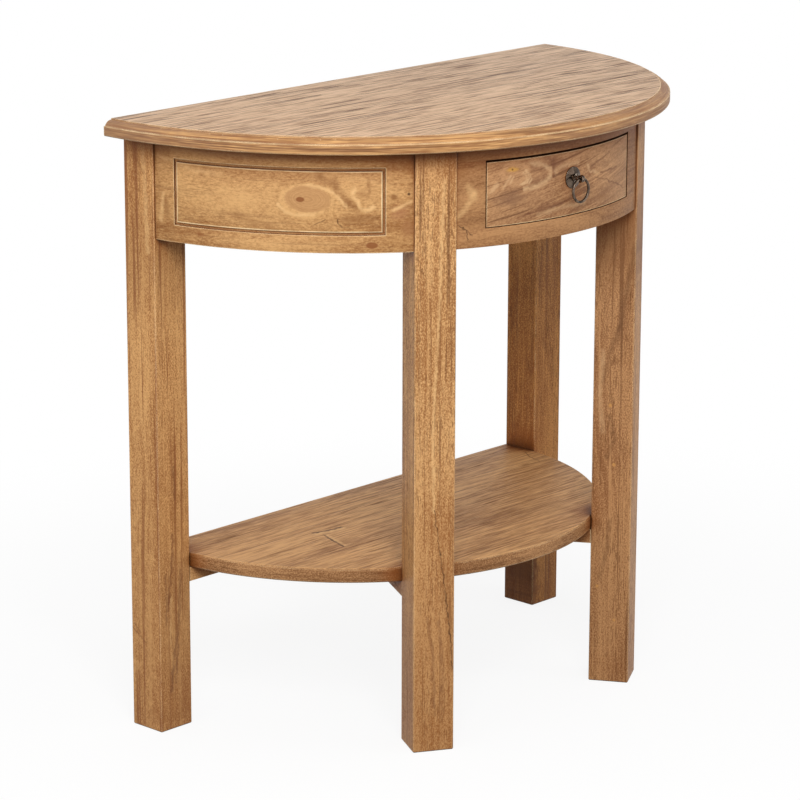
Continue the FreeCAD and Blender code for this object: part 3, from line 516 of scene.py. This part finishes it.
APRON_MARKS = {
    "rims": APRON_RIMS["left"],
    "swells": [((-0.346, 0.680), (0.036, 0.022), 0.03),
               ((-0.290, 0.672), (0.026, 0.02), -0.022),
               ((-0.2706, 0.627), (0.012, 0.008), 0.012),
               ((-0.46, 0.70), (0.05, 0.03), 0.012)],
    "stains": [((-0.289, 0.6575), (0.028, 0.007), 3, 0.6, DARK_FLAME),
               ((-0.280, 0.686), (0.010, 0.006), 0, 0.4, DARK_FLAME),
               ((-0.237, 0.664), (0.013, 0.010), 20, 0.6, srgb(176, 122, 82)),
               ((-0.2275, 0.645), (0.010, 0.015), 0, 0.6, srgb(160, 108, 68)),
               ((-0.244, 0.683), (0.0055, 0.005), 30, 0.85, DARK_FLAME),
               ((-0.2265, 0.6859), (0.0022, 0.0022), 0, 0.9, CRACK_BROWN),
               ((-0.4775, 0.6308), (0.006, 0.0035), -20, 0.6, KNOT_BROWN),
               ((-0.525, 0.657), (0.005, 0.015), 8, 0.5, DARK_FLAME)],
    "knots": [((-0.3446, 0.680), (0.0265, 0.0162), -4, 0.7, (-0.3529, 0.6799), (0.0055, 0.0033)),
              ((-0.2696, 0.6263), (0.0075, 0.004), -12, 0.6, (-0.2696, 0.6263),
               (0.0078, 0.0042))],
    "flames": [(((-0.3318, 0.7091), (-0.3226, 0.7023), (-0.3134, 0.6977)),
                0.0052, 0.75, DARK_FLAME),
               (((-0.3134, 0.6977), (-0.3065, 0.6884), (-0.2973, 0.6766)),
                0.0036, 0.7, DARK_FLAME),
               (((-0.2973, 0.6766), (-0.2858, 0.6684)), 0.0034, 0.75, DARK_FLAME),
               (((-0.3789, 0.6736), (-0.3706, 0.6645), (-0.3588, 0.6614), (-0.3355, 0.6633)),
                0.0017, 0.8, PALE_FLAME),
               (((-0.3446, 0.6971), (-0.3272, 0.694), (-0.3157, 0.6894), (-0.3065, 0.6813),
                 (-0.2996, 0.6719)), 0.0016, 0.75, PALE_FLAME),
               (((-0.2903, 0.6931), (-0.2915, 0.6849), (-0.2869, 0.6778), (-0.2834, 0.6707),
                 (-0.2765, 0.6671), (-0.2673, 0.6717)), 0.002, 0.85, PALE_FLAME),
               (((-0.2742, 0.7047), (-0.2719, 0.6894)), 0.0018, 0.6, DARK_FLAME),
               (((-0.244, 0.6676), (-0.2229, 0.6775)), 0.0018, 0.8, PALE_FLAME),
               (((-0.4315, 0.6586), (-0.4129, 0.6504), (-0.3827, 0.6439)),
                0.005, 0.5, DARK_FLAME),
               (((-0.5296, 0.6739), (-0.5333, 0.6411)), 0.002, 0.7, PALE_FLAME),
               (((-0.5364, 0.7184), (-0.5185, 0.7145)), 0.0018, 0.6, PALE_FLAME),
               (((-0.5041, 0.7101), (-0.486, 0.706), (-0.4501, 0.7044)),
                0.0024, 0.5, PALE_FLAME)],
    "cracks": [(((-0.3089, 0.6578), (-0.3077, 0.6519), (-0.3043, 0.6478)),
                0.0009, 0.75, CRACK_BROWN),
               (((-0.3367, 0.6503), (-0.3239, 0.6564)), 0.0008, 0.6, CRACK_BROWN)],
}

DRAWER_MARKS = {
    "swells": [((-0.095, 0.703), (0.045, 0.03), 0.034), ((0.05, 0.69), (0.03, 0.02), 0.014)],
    "stains": [((-0.0953, 0.7051), (0.009, 0.0034), 0, 0.95, srgb(222, 166, 76)),
               ((-0.0953, 0.7053), (0.0016, 0.0014), 0, 0.9, CRACK_BROWN),
               ((-0.099, 0.671), (0.024, 0.010), 0, 0.6, srgb(124, 86, 62)),
               ((0.065, 0.651), (0.018, 0.004), -4, 0.6, DARK_FLAME),
               # The broad pale patch on the right half is painted light, for that half turns away
               # from the key lamp; the broad dark patch on the left makes that half darker
               ((0.10, 0.675), (0.07, 0.08), 0, 0.25, srgb(204, 158, 114)),
               ((-0.09, 0.665), (0.06, 0.06), 0, 0.22, srgb(118, 80, 56))],
    "flames": [(((-0.0647, 0.7055), (-0.0476, 0.7009), (-0.0457, 0.694), (-0.0543, 0.6897),
                 (-0.0661, 0.6871)), 0.0048, 0.55, FLAME_SHADOW),
               (((-0.0681, 0.7112), (-0.0512, 0.7066), (-0.0387, 0.6998), (-0.0386, 0.6904),
                 (-0.0473, 0.6849), (-0.061, 0.6812), (-0.0775, 0.6805)),
                0.0026, 0.8, FLAME_GLOW),
               (((-0.0443, 0.7131), (-0.0335, 0.7084), (-0.0185, 0.7038)),
                0.006, 0.75, FLAME_SHADOW),
               (((-0.0335, 0.7084), (-0.0323, 0.6923)), 0.0028, 0.8, FLAME_SHADOW),
               (((-0.0296, 0.6959), (-0.0147, 0.702), (0.0094, 0.7013)),
                0.0026, 0.7, FLAME_GLOW),
               (((-0.077, 0.7023), (-0.072, 0.6977), (-0.0711, 0.6917), (-0.0743, 0.6874),
                 (-0.084, 0.6865)), 0.0011, 0.85, FLAME_GLOW),
               (((-0.0696, 0.6968), (-0.067, 0.6912), (-0.0711, 0.6864)),
                0.001, 0.85, FLAME_GLOW),
               (((-0.0794, 0.7005), (-0.0753, 0.6961), (-0.0744, 0.6907), (-0.0808, 0.6875)),
                0.001, 0.8, FLAME_GLOW),
               (((-0.1157, 0.6897), (-0.1238, 0.6825)), 0.0022, 0.7, FLAME_GLOW),
               (((-0.0983, 0.6972), (-0.1074, 0.6849)), 0.0014, 0.7, FLAME_GLOW),
               (((-0.0936, 0.6968), (-0.0982, 0.6893)), 0.0011, 0.7, FLAME_GLOW),
               (((0.028, 0.6959), (0.0339, 0.687), (0.0508, 0.683)), 0.0014, 0.65, FLAME_GLOW),
               (((-0.057, 0.6475), (-0.0174, 0.6515), (0.0236, 0.6508)),
                0.0024, 0.5, FLAME_GLOW),
               (((-0.0867, 0.647), (-0.0398, 0.6586)), 0.0012, 0.75, FLAME_SHADOW),
               (((-0.0738, 0.6495), (-0.0098, 0.6572)), 0.0012, 0.75, FLAME_SHADOW),
               (((0.0559, 0.6822), (0.0987, 0.6819)), 0.001, 0.75, FLAME_SHADOW),
               (((0.0338, 0.6924), (0.0767, 0.7032)), 0.001, 0.75, FLAME_SHADOW),
               (((0.046, 0.6783), (0.1172, 0.6554)), 0.001, 0.75, FLAME_SHADOW)],
}

FRONT_MARKS = {
    "swells": [((-0.155, 0.668), (0.03, 0.03), 0.016)],
    "stains": [((-0.150, 0.683), (0.014, 0.006), -62, 0.4, PALE_FLAME),
               ((-0.163, 0.709), (0.012, 0.01), 0, 0.35, DARK_FLAME)],
    "flames": [(((-0.1292, 0.653), (-0.1292, 0.695)), 0.0012, 0.7, PALE_FLAME),
               (((-0.168, 0.655), (-0.158, 0.664), (-0.146, 0.682)), 0.003, 0.5, PALE_FLAME)],
    "cracks": [(((-0.1663, 0.6459), (-0.1568, 0.6393), (-0.1542, 0.6272)),
                0.0009, 0.9, CRACK_BROWN),
               (((-0.1568, 0.6393), (-0.149, 0.632)), 0.0006, 0.6, CRACK_BROWN)],
}

SHELF_MARKS = {
    "flames": [(((-0.157, 0.101), (-0.136, 0.0955), (-0.1142, 0.0933)), 0.0026, 0.6, PALE_FLAME),
               (((-0.1492, 0.0902), (-0.1658, 0.0413)), 0.002, 0.55, PALE_FLAME)],
    "cracks": [(((-0.156, 0.106), (-0.135, 0.1005), (-0.1132, 0.0983)),
                0.0026, 0.9, CRACK_BROWN),
               (((-0.1526, 0.0902), (-0.161, 0.068), (-0.1692, 0.0413)),
                0.002, 0.85, CRACK_BROWN),
               (((0.3055, 0.1611), (0.2915, 0.1399), (0.286, 0.1174)),
                0.0012, 0.7, CRACK_BROWN)],
}

# The moulded edge's broad darker patch right of the middle is painted shade; the other darkens its
# left end
TOP_EDGE_MARKS = {
    "stains": [((-0.62, 0.74), (0.2, 0.5), 0, 0.6, srgb(146, 108, 82)),
               ((0.16, 0.74), (0.26, 0.5), 0, 0.58, srgb(142, 100, 68))],
}


def shade_near_floor(share):
    """Painted shade, darker towards the lower end of a leg."""
    return (0.06, 0.0), (0.36, 0.6), 0, share, srgb(140, 82, 38)


def shade_under_aprons(share):
    """Painted shade on a leg just under the aprons."""
    return (0.59, 0.15), (0.085, 0.6), 0, share, srgb(126, 78, 40)


# The grain of this leg is measured corner on, so that both faces that the camera sees can have
# marks of their own
BACK_LEFT_TURN = 135
BACK_LEFT_MARKS = {
    "swells": [((0.10, 0.395), (0.035, 0.012), 0.02)],
    "stains": [shade_near_floor(0.5), shade_under_aprons(0.3)],
    "flames": [(((0.726, 0.3975), (0.71, 0.3912), (0.697, 0.3848)), 0.0016, 0.7, DARK_FLAME),
               (((0.694, 0.3894), (0.672, 0.3876)), 0.0012, 0.6, DARK_FLAME),
               (((0.73, 0.3841), (0.66, 0.3813), (0.6, 0.3799)), 0.0021, 0.5, PALE_FLAME),
               (((0.3335, 0.3539), (0.2925, 0.353)), 0.0012, 0.6, FLAME_SHADOW),
               (((0.2485, 0.3553), (0.2187, 0.3566), (0.1845, 0.3596), (0.153, 0.3621)),
                0.0012, 0.6, FLAME_SHADOW),
               (((0.2, 0.3466), (0.165, 0.3484), (0.135, 0.35), (0.1035, 0.3539),
                 (0.076, 0.3576), (0.049, 0.3592)), 0.0014, 0.65, FLAME_SHADOW),
               (((0.2018, 0.3644), (0.1718, 0.3635), (0.1368, 0.3644)),
                0.001, 0.5, FLAME_SHADOW),
               (((0.1065, 0.3507), (0.0842, 0.3523), (0.059, 0.3539)), 0.001, 0.6, FLAME_SHADOW),
               (((0.169, 0.3585), (0.109, 0.3603)), 0.001, 0.45, PALE_FLAME)],
    "cracks": [(((0.1297, 0.4033), (0.122, 0.3965)), 0.0009, 0.6, FLAME_SHADOW),
               (((0.1247, 0.4062), (0.1185, 0.3988)), 0.0009, 0.6, FLAME_SHADOW),
               (((0.117, 0.3974), (0.11, 0.3894)), 0.0009, 0.6, FLAME_SHADOW)],
}

# The back right leg: its second stain is painted shade at its foot, along its left side
BACK_RIGHT_MARKS = {
    "stains": [shade_near_floor(0.35), ((0.05, 0.316), (0.09, 0.016), 0, 0.8, srgb(84, 40, 8))],
}

FRONT_LEFT_MARKS = {
    "stains": [shade_near_floor(0.42)],
    "flames": [(((0.70, -0.087), (0.55, -0.0925), (0.40, -0.0997), (0.30, -0.098)),
                0.0016, 0.6, PALE_FLAME),
               (((0.66, -0.0855), (0.52, -0.091), (0.42, -0.0965)), 0.001, 0.6, DARK_FLAME),
               (((0.2364, -0.0865), (0.1774, -0.079), (0.10, -0.0745)),
                0.004, 0.45, DARK_FLAME),
               (((0.1693, -0.1052), (0.1237, -0.0983), (0.0566, -0.0969)),
                0.0018, 0.5, FLAME_SHADOW),
               (((0.164, -0.0913), (0.11, -0.0858), (0.043, -0.0871)),
                0.0018, 0.5, FLAME_SHADOW)],
    "cracks": [(((0.3036, -0.0969), (0.2741, -0.0935), (0.2364, -0.0885), (0.2042, -0.0839),
                 (0.1774, -0.081), (0.1344, -0.0755), (0.1022, -0.0739)),
                0.001, 0.75, CRACK_BROWN)],
}

FRONT_RIGHT_MARKS = {
    "swells": [((0.42, 0.178), (0.14, 0.02), 0.012)],
    "stains": [shade_near_floor(0.15), shade_under_aprons(0.6),
               *((middle, (0.0024, 0.0024), 0, 0.8, srgb(206, 150, 84))
                 for middle in ((0.365, 0.1746), (0.288, 0.1807), (0.127, 0.162),
                                (0.083, 0.1846)))],
    "flames": [(((0.572, 0.2034), (0.501, 0.1905), (0.448, 0.182)), 0.003, 0.55, RIPPLE_BROWN),
               (((0.470, 0.1864), (0.43, 0.172), (0.394, 0.1648)), 0.0026, 0.55, RIPPLE_BROWN),
               (((0.350, 0.1734), (0.324, 0.1819), (0.297, 0.1715)), 0.0024, 0.6, RIPPLE_BROWN),
               (((0.2127, 0.1758), (0.18, 0.174), (0.137, 0.1648)), 0.0022, 0.5, RIPPLE_BROWN),
               (((0.4346, 0.1648), (0.3765, 0.161), (0.33, 0.166)), 0.0026, 0.5, FLAME_GLOW)],
}


# Edges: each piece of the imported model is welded, its sharp edges are eased and its curves shaded
# smooth. The flush joints of the front stay almost sharp.
WELD_REACH = 0.00001
FLAT_ANGLE = math.radians(0.4)
SHARP_ANGLE = math.radians(28)
SMOOTH_ANGLE = math.radians(32)
EASE_SEGMENTS = 3
FLUSH_EASE = 0.0001
STEEL_EASE = 0.0002
BRONZE_EASE = 0.0003
FRAME_EASE = 0.0004
BOARD_EASE = 0.0005
BAR_EASE = 0.0006


def make_smooth_group():
    """Shades curves smooth and keeps sharp edges."""
    tree = bpy.data.node_groups.new("smooth_by_angle", "GeometryNodeTree")
    tree.interface.new_socket("Geometry", in_out="INPUT", socket_type="NodeSocketGeometry")
    tree.interface.new_socket("Geometry", in_out="OUTPUT", socket_type="NodeSocketGeometry")
    make, link = tree.nodes.new, tree.links.new
    start, end = make("NodeGroupInput"), make("NodeGroupOutput")
    faces, edges = make("GeometryNodeSetShadeSmooth"), make("GeometryNodeSetShadeSmooth")
    faces.domain, edges.domain = "FACE", "EDGE"
    angle, gentle = make("GeometryNodeInputMeshEdgeAngle"), make("ShaderNodeMath")
    gentle.operation = "LESS_THAN"
    gentle.inputs[1].default_value = SMOOTH_ANGLE
    link(angle.outputs["Unsigned Angle"], gentle.inputs[0])
    link(start.outputs[0], faces.inputs["Geometry"])
    link(faces.outputs[0], edges.inputs["Geometry"])
    link(gentle.outputs[0], edges.inputs["Shade Smooth"])
    link(edges.outputs[0], end.inputs[0])
    return tree


SMOOTH_GROUP = make_smooth_group()


def ease_edges(piece, width):
    weld = piece.modifiers.new("weld", "WELD")
    weld.merge_threshold = WELD_REACH
    flatten = piece.modifiers.new("flatten", "DECIMATE")
    flatten.decimate_type = "DISSOLVE"
    flatten.angle_limit = FLAT_ANGLE
    ease = piece.modifiers.new("ease", "BEVEL")
    ease.width = width
    ease.segments = EASE_SEGMENTS
    ease.limit_method = "ANGLE"
    ease.angle_limit = SHARP_ANGLE
    smooth = piece.modifiers.new("smooth", "NODES")
    smooth.node_group = SMOOTH_GROUP


def paint(piece, material):
    piece.data.materials.clear()
    piece.data.materials.append(material)


def dress(material, slot, ease, *names):
    """Gives pieces their material and eased edges. The slot argument is not used."""
    for name in names:
        paint(nodes[name], material)
        ease_edges(nodes[name], ease)


def both(stem):
    return f"{stem}_left", f"{stem}_right"


# Half-round boards: depths under the upper surface between which the edge's wood begins, widths
# of the rim that has it, and the width over which it blends into the flat
EDGE_DEPTHS = (0.0004, 0.0012)
TOP_RIM_WIDTH = 0.034
SHELF_RIM_WIDTH = 0.006
RIM_BLEND = 0.004


def rimmed_wood(name, flat_look, edge_look, marks, edge_marks, radius, high, rim_width, specular):
    """Wood of a half-round board: straight grain on its flat, and round its edge grain that
    follows it. Below the upper surface the flat's grain is taken a metre further along, so that
    the underside shows none of the marks.
    """
    material, graph, shader = new_material(name)
    around = round_grain(graph)
    below = graph.ramp(around[1], *(high - depth for depth in EDGE_DEPTHS))
    along, *others = straight_grain("X")(graph)
    flat = figure(graph, [graph.add(along, below), *others], flat_look, marks)
    edge = figure(graph, around, edge_look, edge_marks)
    rim_start = radius - rim_width
    rim = graph.times(below, graph.ramp(around[2], rim_start, rim_start + RIM_BLEND))
    colour = graph.mix(rim, flat[0], edge[0])
    roughness, height = (graph.blend(rim, first, second)
                         for first, second in zip(flat[1:], edge[1:]))
    finish_wood(graph, shader, colour, roughness, height, specular)
    return material


def dress_top():
    """Top with pale wood on its flat, whose paleness is partly painted sheen, and golden wood on
    its moulded edge.
    """
    flat_look = board((0.3, 1.6, 0.1), light=srgb(224, 186, 149), dark=srgb(160, 122, 90),
                      line=srgb(86, 56, 36), bands=0.3, clouds=0.15, speckle=2.8, streaks=0.95,
                      pores=0.9, spacing=0.007, streak_waves=(3.5, 330, 330),
                      fibre_waves=(24, 300, 300), pore_waves=(12, 340, 340))
    edge_look = board((0.2, 0.5, 0.3), light=srgb(222, 170, 110), dark=srgb(148, 100, 58),
                      streaks=0.75, streak_waves=(2.5, 320, 320), fibre_waves=(22, 460, 460),
                      pore_waves=(9, 380, 380))
    material = rimmed_wood("top_wood", flat_look, edge_look, None, TOP_EDGE_MARKS, ROUND_RADIUS,
                           TOP_HIGH.z, TOP_RIM_WIDTH, TOP_SPECULAR)
    dress(material, "top_wood", BOARD_EASE, "table_top")


def dress_shelf():
    flat_look = board((0.1, 0.6, 0.05), light=srgb(214, 164, 110), dark=srgb(152, 106, 65),
                      line=srgb(86, 50, 25), bands=0.3, clouds=0.4, speckle=2.0, streaks=0.5,
                      pores=0.55, spacing=0.007, streak_waves=(3.5, 340, 340),
                      fibre_waves=(30, 340, 340), pore_waves=(16, 380, 380))
    edge_look = board((0.4, 0.2, 0.3), light=srgb(190, 142, 96), dark=srgb(130, 88, 54),
                      streaks=0.5, streak_waves=(9, 200, 200))
    low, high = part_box("shelf")
    material = rimmed_wood("shelf_wood", flat_look, edge_look, SHELF_MARKS, None,
                           ROUND_AXIS_Y - low.y, high.z, SHELF_RIM_WIDTH, SHELF_SPECULAR)
    dress(material, "top_wood", BOARD_EASE, "shelf")


def dress_legs():
    # The back right leg's darker colours are partly its own wood and partly painted shade, as it
    # stands in the table's shadow
    deep = {"light": srgb(208, 148, 84), "dark": srgb(134, 80, 36)}
    brown = {"light": srgb(204, 153, 103), "dark": srgb(138, 91, 55)}
    smooth = {"streaks": 0.7, "pores": 0.35, "line": srgb(124, 66, 30),
              "streak_waves": (2.5, 150, 150),
              "light": srgb(226, 173, 112), "dark": srgb(158, 102, 55)}
    legs = {
        "leg_back_left": (BACK_LEFT_TURN, board((0.2, 0.2828, 0.1556), **smooth),
                          BACK_LEFT_MARKS),
        "leg_back_right": (0, board((0.9, 0.30, 0.15), **deep), BACK_RIGHT_MARKS),
        "leg_front_left": (-FRONT_LEG_TURN, board((1.7, 0.03, -0.2)), FRONT_LEFT_MARKS),
        "leg_front_right": (FRONT_LEG_TURN - 90, board((2.6, 0.12, 0.05), **brown),
                            FRONT_RIGHT_MARKS),
    }
    for name, (turn, look, marks) in legs.items():
        material = wood(f"{name}_wood", turned_grain("Z", turn), look, marks)
        dress(material, "frame_wood", FRAME_EASE, name)


def dress_frame():
    soft = {"streaks": 0.25, "pores": 0.25, "speckle": 1.4, "clouds": 0.45,
            "fibre_waves": (260, 520, 520)}
    honey = {"light": srgb(218, 169, 111), "dark": srgb(148, 97, 52)}
    brown = {"light": srgb(186, 137, 90), "dark": srgb(126, 81, 46)}
    umber = {"light": srgb(208, 158, 110), "dark": srgb(134, 88, 54), "streaks": 0.75,
             "streak_waves": (6, 230, 230)}
    left = wood("apron_left_wood", round_grain, board((-0.3, 0.72, 0.31), **soft, **honey),
                APRON_MARKS, crevice=TIGHT_CREVICE)
    dress(left, "frame_wood", FRAME_EASE, "apron_left")
    right = wood("apron_right_wood", round_grain, board((0.4, 0.75, 0.32), **soft, **honey),
                 {"rims": APRON_RIMS["right"]}, crevice=TIGHT_CREVICE)
    dress(right, "frame_wood", FRAME_EASE, "apron_right")
    front = wood("front_frame_wood", round_grain, board((0.1, 0.61, 0.32), **soft, **brown),
                 FRONT_MARKS, wear_and_highlight_share=0.0)
    dress(front, "frame_wood", FLUSH_EASE, "drawer_rail_lower", "drawer_rail_upper",
          *both("front_stile"))
    leaning = board((-0.05, 0.76, 0.30), lean=0.19, **{**soft, **umber})
    drawer = wood("drawer_front_wood", round_grain, leaning, DRAWER_MARKS)
    dress(drawer, "frame_wood", BOARD_EASE, "drawer_front")
    across = wood("crosswise_wood", straight_grain("X"), board((0.5, 0.3, 0.4)))
    dress(across, "frame_wood", BAR_EASE, "apron_back", "shelf_stretcher_back")
    for name, turn in zip(both("shelf_stretcher"), (-FRONT_LEG_TURN, FRONT_LEG_TURN)):
        bar = wood(f"{name}_wood", turned_grain("Y", turn), board((0.2, 0.1, 0.3), **brown))
        dress(bar, "frame_wood", BAR_EASE, name)


def dress_inside():
    pale = board((0.1, 0.2, 0.5), light=srgb(216, 178, 130), dark=srgb(178, 132, 86),
                 streaks=0.3)
    deep = wood("inner_wood", straight_grain("Y"), pale)
    dress(deep, "inner_wood", BOARD_EASE, *both("drawer_runner"), *both("drawer_kicker"),
          *both("drawer_stop"), *both("drawer_side"), *both("glue_block_side"))
    wide = wood("panel_wood", straight_grain("X"), pale)
    dress(wide, "inner_wood", BOARD_EASE, "drawer_back", "drawer_bottom",
          *both("glue_block_back"))


METAL_WEAR_AND_HIGHLIGHT_RADIUS, METAL_WEAR_AND_HIGHLIGHT_STEP = 0.0008, (0.98, 0.85)
PATINA_WAVES, PATINA_STEP = (150, 150, 150), (0.36, 0.72)
SCUFF_WAVES, SCUFF_STEP = (900, 900, 900), (0.55, 0.75)
PATINA_ROUGHNESS, SCUFF_ROUGHNESS = 0.2, -0.1
PATINA_RELIEF, PATINA_STRENGTH = 0.0003, 0.25


def metal(name, light, dark, bright, roughness):
    """Metal with a cloudy patina, and edges made bright partly by rubbing and partly by a painted
    highlight.
    """
    material, graph, shader = new_material(name)
    place = graph.node("TexCoord").outputs["Object"]
    cloud = graph.noise(place, PATINA_WAVES, detail=4, roughness=0.55)
    scuff = graph.ramp(graph.noise(place, SCUFF_WAVES, detail=3), *SCUFF_STEP)
    lit_and_worn = graph.ramp(edge_agreement(graph, METAL_WEAR_AND_HIGHLIGHT_RADIUS), *METAL_WEAR_AND_HIGHLIGHT_STEP)
    colour = graph.mix(graph.ramp(cloud, *PATINA_STEP), dark, light)
    graph.feed(shader.inputs["Base Color"], graph.mix(lit_and_worn, colour, bright))
    rough = graph.weigh(cloud, PATINA_ROUGHNESS, scuff, SCUFF_ROUGHNESS)
    graph.feed(shader.inputs["Roughness"], graph.add(roughness, rough))
    bump = graph.node("Bump", {"Strength": PATINA_STRENGTH, "Distance": PATINA_RELIEF,
                               "Height": cloud})
    graph.feed(shader.inputs["Normal"], bump.outputs[0])
    shader.inputs["Metallic"].default_value = 1.0
    return material


def dress_metal():
    bronze = metal("dark_bronze", srgb(108, 93, 80), srgb(60, 49, 41), srgb(214, 200, 184), 0.13)
    dress(bronze, "dark_metal", BRONZE_EASE, "pull_backplate", "pull_eye_bolt", "pull_ring")
    steel = metal("screw_steel", srgb(170, 168, 162), srgb(120, 118, 114), srgb(210, 208, 204),
                  0.3)
    screws = [name for name in nodes if "screw" in name]
    dress(steel, "screw_steel", STEEL_EASE, "pull_washer", "pull_nut", *screws)


def add_object(name, data):
    thing = bpy.data.objects.new(name, data)
    bpy.context.scene.collection.objects.link(thing)
    return thing


def add_camera():
    level_share = math.cos(CAMERA_PITCH)
    forward = Vector((math.sin(CAMERA_YAW) * level_share, math.cos(CAMERA_YAW) * level_share,
                      -math.sin(CAMERA_PITCH)))
    level = forward.cross(Vector((0, 0, 1))).normalized()
    upright = level.cross(forward)
    right = math.cos(CAMERA_ROLL) * level + math.sin(CAMERA_ROLL) * upright
    up = math.cos(CAMERA_ROLL) * upright - math.sin(CAMERA_ROLL) * level
    data = bpy.data.cameras.new("camera")
    data.sensor_width = SENSOR_WIDTH
    data.lens = FOCAL_PIXELS / IMAGE_SIDE * SENSOR_WIDTH
    data.shift_x = 0.5 - PRINCIPAL_PIXEL[0] / IMAGE_SIDE
    data.shift_y = PRINCIPAL_PIXEL[1] / IMAGE_SIDE - 0.5
    camera = add_object("camera", data)
    turn = Matrix((right, up, -forward)).transposed().to_4x4()
    camera.matrix_world = Matrix.Translation(CAMERA_PLACE) @ turn
    bpy.context.scene.camera = camera


def add_lamps():
    for name, (place, size, power) in LAMPS.items():
        data = bpy.data.lights.new(name, "AREA")
        data.size = size
        data.energy = power
        lamp = add_object(name, data)
        lamp.location = place
        lamp.rotation_euler = (LAMP_TARGET - place).to_track_quat("-Z", "Y").to_euler()


def seen_directly(graph):
    """1 for what the camera sees, also in gloss and through glass, and 0 for light that falls on
    the object.
    """
    path = graph.node("LightPath").outputs
    direct = graph.math("MAXIMUM", path["Is Camera Ray"], path["Is Glossy Ray"])
    return graph.math("MAXIMUM", direct, path["Is Transmission Ray"])


def add_surround():
    """White surround, which lights the object with less than it shows."""
    world = bpy.data.worlds.new("surround")
    bpy.context.scene.world = world
    world.use_nodes = True
    graph = Graph(world.node_tree)
    background = world.node_tree.nodes["Background"]
    background.inputs["Color"].default_value = WHITE
    strength = graph.blend(seen_directly(graph), SURROUND_STRENGTH, 1.0)
    graph.feed(background.inputs["Strength"], strength)


def add_floor():
    """White floor that keeps the object's soft shadow and throws little light back up."""
    mesh = bpy.data.meshes.new("floor")
    shape = bmesh.new()
    bmesh.ops.create_grid(shape, x_segments=1, y_segments=1, size=FLOOR_SIZE / 2)
    shape.to_mesh(mesh)
    shape.free()
    floor = add_object("floor", mesh)
    material, graph, shader = new_material("floor")
    material.node_tree.nodes.remove(shader)
    x, y, _ = object_place(graph)
    lit_share = graph.ramp(graph.length(x, y), *SHADOW_REACH, SHADOW_SHARE, 0.0)
    lit = graph.node("BsdfDiffuse", {"Color": WHITE}).outputs[0]
    white = graph.node("Emission", {"Color": WHITE, "Strength": 1.0}).outputs[0]
    seen = graph.node("MixShader", {0: lit_share, 1: white, 2: lit}).outputs[0]
    grey = (FLOOR_BOUNCE, FLOOR_BOUNCE, FLOOR_BOUNCE, 1)
    dim = graph.node("BsdfDiffuse", {"Color": grey}).outputs[0]
    surface = graph.node("MixShader", {0: seen_directly(graph), 1: dim, 2: seen}).outputs[0]
    graph.feed(material.node_tree.nodes["Material Output"].inputs["Surface"], surface)
    paint(floor, material)


dress_top()
dress_shelf()
dress_legs()
dress_frame()
dress_inside()
dress_metal()
add_camera()
add_lamps()
add_surround()
add_floor()
bpy.context.scene.view_settings.view_transform = "Standard"
